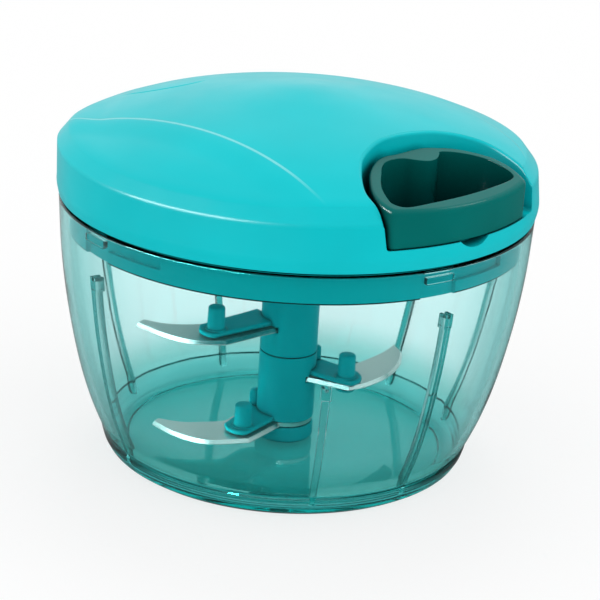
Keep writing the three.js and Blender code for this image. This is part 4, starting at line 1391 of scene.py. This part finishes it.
def lid_base_piece():
    """Plate, skirt, flange and bearing in one."""
    inner = skirt_radius - skirt_wall
    made = spun("base", rounded([
        (bearing_bore, plate_z - bearing_height, 0),
        (bearing_radius, plate_z - bearing_height, 0.4 * MM),
        (bearing_radius, plate_z, 0.5 * MM),
        (inner, plate_z, 0.3 * MM),
        (inner, skirt_z, 0.3 * MM),
        (skirt_radius, skirt_z, 0.5 * MM),
        (skirt_radius, flange_z, 0.2 * MM),
        (flange_radius, flange_z, 0.2 * MM),
        (flange_radius, flange_top_z, 0.2 * MM),
        (inner, flange_top_z, 0.2 * MM),
        (inner, plate_top_z, 0.5 * MM),
        (bearing_radius, plate_top_z, 0.5 * MM),
        (bearing_radius, plate_top_z + bearing_height, 0.4 * MM),
        (bearing_bore, plate_top_z + bearing_height, 0),
    ], 3))
    for azimuth in lug_azimuths:
        cut_from(made, bayonet_slot(azimuth))
    for azimuth in screw_azimuths:
        x, y = at(azimuth, screw_circle)
        add_to(made, bar(pad_radius, plate_z, plate_top_z + 2 * MM, x, y, 0.3 * MM))
        cut_from(made, bar(screw_hole_radius, plate_z - MM, plate_top_z + 3 * MM, x, y))
        cut_from(made, bar(screw_head_room_radius, plate_z - MM, plate_z + screw_head_room_depth, x, y))
    return made


lid_base = finish_piece(lid_base_piece(), "lid_base_ring", "lid", base_plastic, ["lid_base"])
# The faces in the gap above and below the band get the painted shadow.
lid_base.data.materials.append(painted_shadow_plastic)
band_low = skirt_z + 0.4 * MM
band_high = bowl_height - 0.2 * MM
for face in lid_base.data.polygons:
    outside = face.center.xy.length > skirt_radius - MM
    if outside and not band_low < face.center.z < band_high:
        face.material_index = 1

# %% [markdown]
# ## Pull handle: outlines
# The handle is a closed ring for two or three fingers. Its front follows the lid's wall, and the thick part
# at its back holds the cord's knot. Both outlines are smooth curves through a few points, given in shares of
# the lid's radius. The outer one has the front's arc added and its corners rubbed round.

# %% Handle outlines
handle_radius = lid_radius - 0.6 * MM
handle_points = 200
front_half_angle = 20.5
front_steps = 8
handle_outer_shares = [
    (0.913, -0.383), (0.867, -0.39), (0.81, -0.376), (0.749, -0.342), (0.692, -0.296), (0.644, -0.249),
    (0.602, -0.193), (0.57, -0.133), (0.557, -0.075), (0.561, -0.03), (0.558, 0.015), (0.556, 0.075),
    (0.557, 0.135), (0.575, 0.185), (0.592, 0.23), (0.611, 0.266), (0.639, 0.298), (0.666, 0.325),
    (0.698, 0.351), (0.73, 0.37), (0.774, 0.38), (0.821, 0.384), (0.88, 0.375), (0.92, 0.362),
]
handle_inner_shares = [
    (0.91, -0.305), (0.87, -0.342), (0.828, -0.331), (0.77, -0.3), (0.721, -0.261), (0.672, -0.21),
    (0.634, -0.17), (0.606, -0.123), (0.598, -0.07), (0.607, -0.02), (0.634, 0.02), (0.655, 0.057),
    (0.66, 0.09), (0.652, 0.123), (0.63, 0.158), (0.616, 0.178), (0.636, 0.23), (0.675, 0.284),
    (0.726, 0.326), (0.787, 0.344), (0.85, 0.343), (0.892, 0.305), (0.914, 0.164), (0.924, 0),
    (0.92, -0.18),
]


def soften_ring(line, reach):
    """A closed, evenly spaced line with its corners rubbed round."""
    count = len(line)
    soft = []
    for i in range(count):
        near = [Vector(line[(i + k) % count]) for k in range(-reach, reach + 1)]
        soft.append(tuple(sum(near, Vector((0, 0))) / len(near)))
    return soft


def handle_outer():
    """The outer outline, whose front follows the lid's wall."""
    front = []
    for i in range(front_steps + 1):
        a = math.radians(front_half_angle * (1 - 2 * i / front_steps))
        front.append((handle_radius * math.cos(a), handle_radius * math.sin(a)))
    back = scaled(handle_outer_shares, lid_radius)
    return soften_ring(evenly(through(back + front, 8, True), handle_points, True), 2)


def handle_inner():
    """The outline of the finger opening."""
    return evenly(through(scaled(handle_inner_shares, lid_radius), 8, True), handle_points, True)


handle_width = (max(y for x, y in handle_outer()) - min(y for x, y in handle_outer())) / MM
print(f"the handle is {handle_width:.1f} mm wide")

# %% [markdown]
# ## Pull handle: ring
# The outer outline is raised to a block whose top slopes up towards the lid's middle. A weighted Bevel rounds
# the top's edge, more in front, where the hand grips, than at the back. Then the opening is cut through, and
# its edge gets a smaller rounding. The back of the ring has the room for the cord and its knot.

# %% Handle ring
handle_front_z = handle_low.z + 8.2 * MM
handle_slope = 0.22
handle_round = 1.7 * MM
back_round = 0.6
grip_start = 0.78 * lid_radius
grip_fade = 0.12 * lid_radius
opening_round = 0.7 * MM
knot_place = 0.608 * lid_radius
knot_room_radius = 2.1 * MM
cord_room_radius = 1.4 * MM


def handle_top(out):
    """Height of the sloping top at a distance from the lid's axis."""
    return handle_front_z + handle_slope * (handle_radius - out)


def handle_ring():
    """A block with a sloping, rounded top, cut through by the finger opening."""
    z = handle_low.z
    block = raised("handle", handle_outer(), z, handle_front_z)
    for vertex in block.data.vertices:
        if vertex.co.z > z + MM:
            vertex.co.z = handle_top(vertex.co.x)
    weights = block.data.attributes.new("bevel_weight_edge", "FLOAT", "EDGE")
    for edge, weight in zip(block.data.edges, weights.data):
        ends = [block.data.vertices[i].co for i in edge.vertices]
        if all(end.z > z + MM for end in ends):
            front = smooth_step((ends[0].x - grip_start) / grip_fade)
            weight.value = back_round + (1 - back_round) * front
    pick(block)
    bpy.ops.object.modifier_add(type="BEVEL")
    bevel = block.modifiers[-1]
    bevel.limit_method = "WEIGHT"
    bevel.width = handle_round
    bevel.segments = 7
    bpy.ops.object.modifier_apply(modifier=bevel.name)
    opening = raised("opening", handle_inner(), z - MM, crown_z)
    return soft_edges(cut_from(block, opening), opening_round, 4, 55)


def pull_point(along, across, z):
    """The point at a place along the pull direction and across it."""
    turn = Matrix.Rotation(math.radians(pull_azimuth - 90), 3, "Z")
    return turn @ Vector((along, across, z))


handle = turned_to(handle_ring(), pull_azimuth)
knot_room = bar(knot_room_radius, handle_low.z - MM, cord_z + knot_room_radius)
knot_room.location = pull_point(knot_place, cord_offset, 0)
cut_from(handle, placed(knot_room), along_cord(cord_room_radius, recess_back, knot_place))
finish_piece(handle, "pull_handle_ring", "handle", handle_plastic, ["pull_handle"])

# %% [markdown]
# ## Cord
# One braided cord runs from the winding on the reel, through an eye in the recess, to a knot in the handle.
# The winding is a little more than two turns side by side, and the lead is the straight stretch inside the
# lid. Each is a curve with a round bevel, turned into a mesh, which is the simplest way to a tube along a
# path.

# %% Winding and lead
groove_low, groove_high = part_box("cord_winding")
winding_radius = (groove_high.x - groove_low.x) / 2 - cord_radius
winding_turns = 2.35
winding_points = 240
lead_points = 13


def tube(name, path, radius):
    """A round tube along points."""
    curve = bpy.data.curves.new(name, "CURVE")
    curve.dimensions = "3D"
    curve.bevel_depth = radius
    curve.bevel_resolution = 4
    curve.use_fill_caps = True
    spline = curve.splines.new("POLY")
    spline.points.add(len(path) - 1)
    for point, place in zip(spline.points, path):
        point.co = (*place, 1)
    obj = bpy.data.objects.new(name, curve)
    bpy.context.scene.collection.objects.link(obj)
    pick(obj)
    bpy.ops.object.convert(target="MESH")
    return face_out(bpy.context.object)


def straight(start, stop, count):
    """Evenly spaced points from start to stop."""
    return [tuple(start.lerp(stop, i / (count - 1))) for i in range(count)]


winding_path = []
for i in range(winding_points):
    share = i / (winding_points - 1)
    x, y = at(360 * winding_turns * share, winding_radius)
    z = groove_low.z + cord_radius + (groove_high.z - groove_low.z - 2 * cord_radius) * share
    winding_path.append((x, y, z))
winding = tube("cord_turns", winding_path, cord_radius)
finish_piece(winding, "cord_turns", "reel", cord_fibre, ["cord_winding"])

lead_mouth = Vector((recess_back - 2 * MM - 2 * seat_gap - cord_radius, cord_offset))
lead_circle = winding_radius + 2 * cord_radius + seat_gap
lead_turn = math.atan2(lead_mouth.y, lead_mouth.x) + math.acos(lead_circle / lead_mouth.length)
lead_start = pull_point(lead_circle * math.cos(lead_turn), lead_circle * math.sin(lead_turn), cord_z)
lead_stop = pull_point(lead_mouth.x, lead_mouth.y, cord_z)
lead = tube("cord_lead_run", straight(lead_start, lead_stop, lead_points), cord_radius)
finish_piece(lead, "cord_lead_run", "lid", cord_fibre, ["cord_lead"])

# %% [markdown]
# ## Cord outside the lid
# The pull cord is the stretch that comes out. It is taut, so it stays straight, and it is blended: it follows
# the lid at the eye and the handle at the knot. The knot is a ball that is dented between the turns of the
# cord, and the eye is a flanged bush that keeps the cord from sawing into the lid.

# %% Pull cord, knot and eye
cord_points = 61
knot_radius = 1.7 * MM
knot_turns = 3
knot_dent = 0.16
knot_axis = Vector((1, 1, 1)).normalized()
eye_radius = 3.2 * MM
eye_flange_radius = 4.2 * MM
eye_bore = 1.6 * MM
eye_back = recess_back - 2.3 * MM
eye_front = recess_back + 1.2 * MM

cord_start = pull_point(recess_back - 2 * MM, cord_offset, cord_z)
cord_stop = pull_point(knot_place - 2 * MM, cord_offset, cord_z)
pull_cord = tube("pull_cord_run", straight(cord_start, cord_stop, cord_points), cord_radius)
finish_piece(pull_cord, "pull_cord_run", None, cord_fibre, ["pull_cord"])
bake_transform(pull_cord)

bpy.ops.mesh.primitive_uv_sphere_add(segments=48, ring_count=32, radius=knot_radius)
knot = bpy.context.object
for vertex in knot.data.vertices:
    slope = vertex.co.angle(knot_axis)
    vertex.co *= 1 - knot_dent * (1 - abs(math.sin(knot_turns * slope)))
knot.location = pull_point(knot_place, cord_offset, cord_z)
placed(knot)
finish_piece(knot, "cord_end_knot", "handle", cord_fibre, ["cord_knot"])

eye = along_cord(eye_radius, eye_back, eye_front, 0.2 * MM)
add_to(eye, along_cord(eye_flange_radius, recess_back + seat_gap, eye_front, 0.4 * MM))
cut_from(eye, along_cord(eye_bore, recess_back - 6 * MM, recess_back + 4 * MM))
finish_piece(eye, "cord_eye", "lid", handle_plastic, ["cord_guide"])

# %% [markdown]
# ## CAD pieces that stay
# The pins, screws, reel and spring are plain turned or bent shapes that are right as they are, and most of
# them lie hidden. Modelling them again would add nothing, so each only gets the material of its slot.

# %% Materials of the kept pieces
steel_nodes = ["pivot_pin", "hub_core", "reel_axle", "recoil_spring"]
steel_nodes += ["lid_screw_1", "lid_screw_2", "lid_screw_3"]
white_nodes = ["hub_bush", "cord_reel", "reel_cap", "drive_spindle"]
kept = {node: plain_steel for node in steel_nodes}
kept.update({node: white_plastic for node in white_nodes})
kept["drive_bush"] = bush_brass
for node, material in kept.items():
    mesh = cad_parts[node].data
    mesh.materials.clear()
    mesh.materials.append(material)
print(len(kept), "CAD pieces keep their shapes")

# %% [markdown]
# ## Table
# The chopper stands on a plain white table. In the picture the table is nearly pure white with only a faint
# shadow. More light would do that and spoil the chopper's colours. Instead the table looks mostly plain white
# to the camera, and a little so through the clear bowl. To all other light it is matt white paper.

# %% Table
table_size = 8
table_drop = 0.2 * MM
cleaned_share = 0.75
cleaned_share_through = 0.2

bpy.ops.mesh.primitive_plane_add(size=table_size, location=(0, 0, -table_drop))
floor = bpy.context.object
floor.name = "floor"
paper = new_material("white table")
matt = add(paper, "ShaderNodeBsdfDiffuse", {"Color": colour("f6f6f6")})
white = add(paper, "ShaderNodeEmission", {"Color": (1, 1, 1, 1), "Strength": 1.0})
ray = add(paper, "ShaderNodeLightPath")
direct = add(paper, "ShaderNodeMath", {0: ray.outputs["Is Camera Ray"], 1: cleaned_share},
             operation="MULTIPLY")
cleaned = add(paper, "ShaderNodeMath", {0: ray.outputs["Is Transmission Ray"], 1: cleaned_share_through,
                                        2: direct.outputs[0]}, operation="MULTIPLY_ADD")
top = add(paper, "ShaderNodeMixShader", {0: cleaned.outputs[0], 1: matt.outputs["BSDF"],
                                         2: white.outputs["Emission"]})
add(paper, "ShaderNodeOutputMaterial", {"Surface": top.outputs["Shader"]})
floor.data.materials.append(paper)
floor.visible_glossy = False
print("table", table_size, "m wide")

# %% [markdown]
# ## Sky
# The sky lights the chopper softly from all sides. To the camera, straight or through clear plastic, it is
# plain white. For reflections it is bright above and behind and dark in front, like a studio where the camera
# stands in the dark, and that gives the dome its soft shine.

# %% Sky
sky_light = 0.7
bright_side = (-0.3, 0.5, 1)
dark_front = 0.14
bright_back = 1.12

world = bpy.data.worlds.new("studio")
bpy.context.scene.world = world
world.use_nodes = True
world.node_tree.nodes.clear()
direction = add(world, "ShaderNodeTexCoord").outputs["Generated"]
towards_bright = add(world, "ShaderNodeVectorMath", {0: direction, 1: bright_side}, operation="DOT_PRODUCT")
mirrored_sky = add(world, "ShaderNodeMapRange", {
    "Value": towards_bright.outputs["Value"], "From Min": -0.1, "From Max": 0.8,
    "To Min": dark_front, "To Max": bright_back}, interpolation_type="SMOOTHSTEP")
ray = add(world, "ShaderNodeLightPath")
level_of_light = add(world, "ShaderNodeMapRange", {
    "Value": ray.outputs["Is Glossy Ray"], "To Min": sky_light, "To Max": mirrored_sky.outputs["Result"]})
to_camera = add(world, "ShaderNodeMath", {
    0: ray.outputs["Is Camera Ray"], 1: ray.outputs["Is Transmission Ray"]}, operation="MAXIMUM")
level_seen = add(world, "ShaderNodeMapRange", {
    "Value": to_camera.outputs[0], "To Min": level_of_light.outputs["Result"], "To Max": 1.0})
background = add(world, "ShaderNodeBackground", {"Color": (1, 1, 1, 1),
                                                 "Strength": level_seen.outputs["Result"]})
add(world, "ShaderNodeOutputWorld", {"Surface": background.outputs["Background"]})
print("sky light", sky_light)

# %% [markdown]
# ## Lamps
# Three large soft lamps model the shape: one on each side and one behind. They don't show in reflections,
# where they would be round spots. Highlights come from two lamps that light nothing else: a small one at the
# back right, and a long strip light at the front left, which is mirrored as the bright line along the lid's
# crease.

# %% Lamps
def towards(azimuth, elevation):
    """The direction at an azimuth and a height above the table."""
    x, y = at(azimuth, math.cos(math.radians(elevation)))
    return Vector((x, y, math.sin(math.radians(elevation))))


def sun(name, azimuth, elevation, strength, spread):
    """A far lamp that shines from a direction."""
    bpy.ops.object.light_add(type="SUN")
    lamp = bpy.context.object
    lamp.name = name
    lamp.rotation_euler = towards(azimuth, elevation).to_track_quat("Z", "Y").to_euler()
    lamp.data.energy = strength
    lamp.data.angle = math.radians(spread)
    return lamp


soft_lamps = [
    sun("left lamp", -66, 40, 0.5, 80),
    sun("right lamp", 68, 40, 0.66, 80),
    sun("back lamp", 180, 62, 0.5, 25),
]
for lamp in soft_lamps:
    lamp.visible_glossy = False

edge_lamp = sun("edge lamp", 122, 45, 0.25, 10)

strip_distance = 700 * MM
strip_length = 750 * MM
strip_width = 250 * MM
strip_watts = 42
to_strip = towards(-55, 33)
bpy.ops.object.light_add(type="AREA", location=to_strip * strip_distance + Vector((0, 0, crease_z)))
strip = bpy.context.object
strip.name = "strip lamp"
strip.rotation_euler = to_strip.to_track_quat("Z", "Y").to_euler()
strip.data.shape = "RECTANGLE"
strip.data.size = strip_length
strip.data.size_y = strip_width
strip.data.energy = strip_watts
for lamp in (strip, edge_lamp):
    lamp.visible_diffuse = False
    lamp.visible_transmission = False
print(len(soft_lamps), "soft lamps and two for highlights")

# %% [markdown]
# ## Finish
# Standard view transform shows each colour as it is written.

# %% Finish
bpy.context.scene.view_settings.view_transform = "Standard"
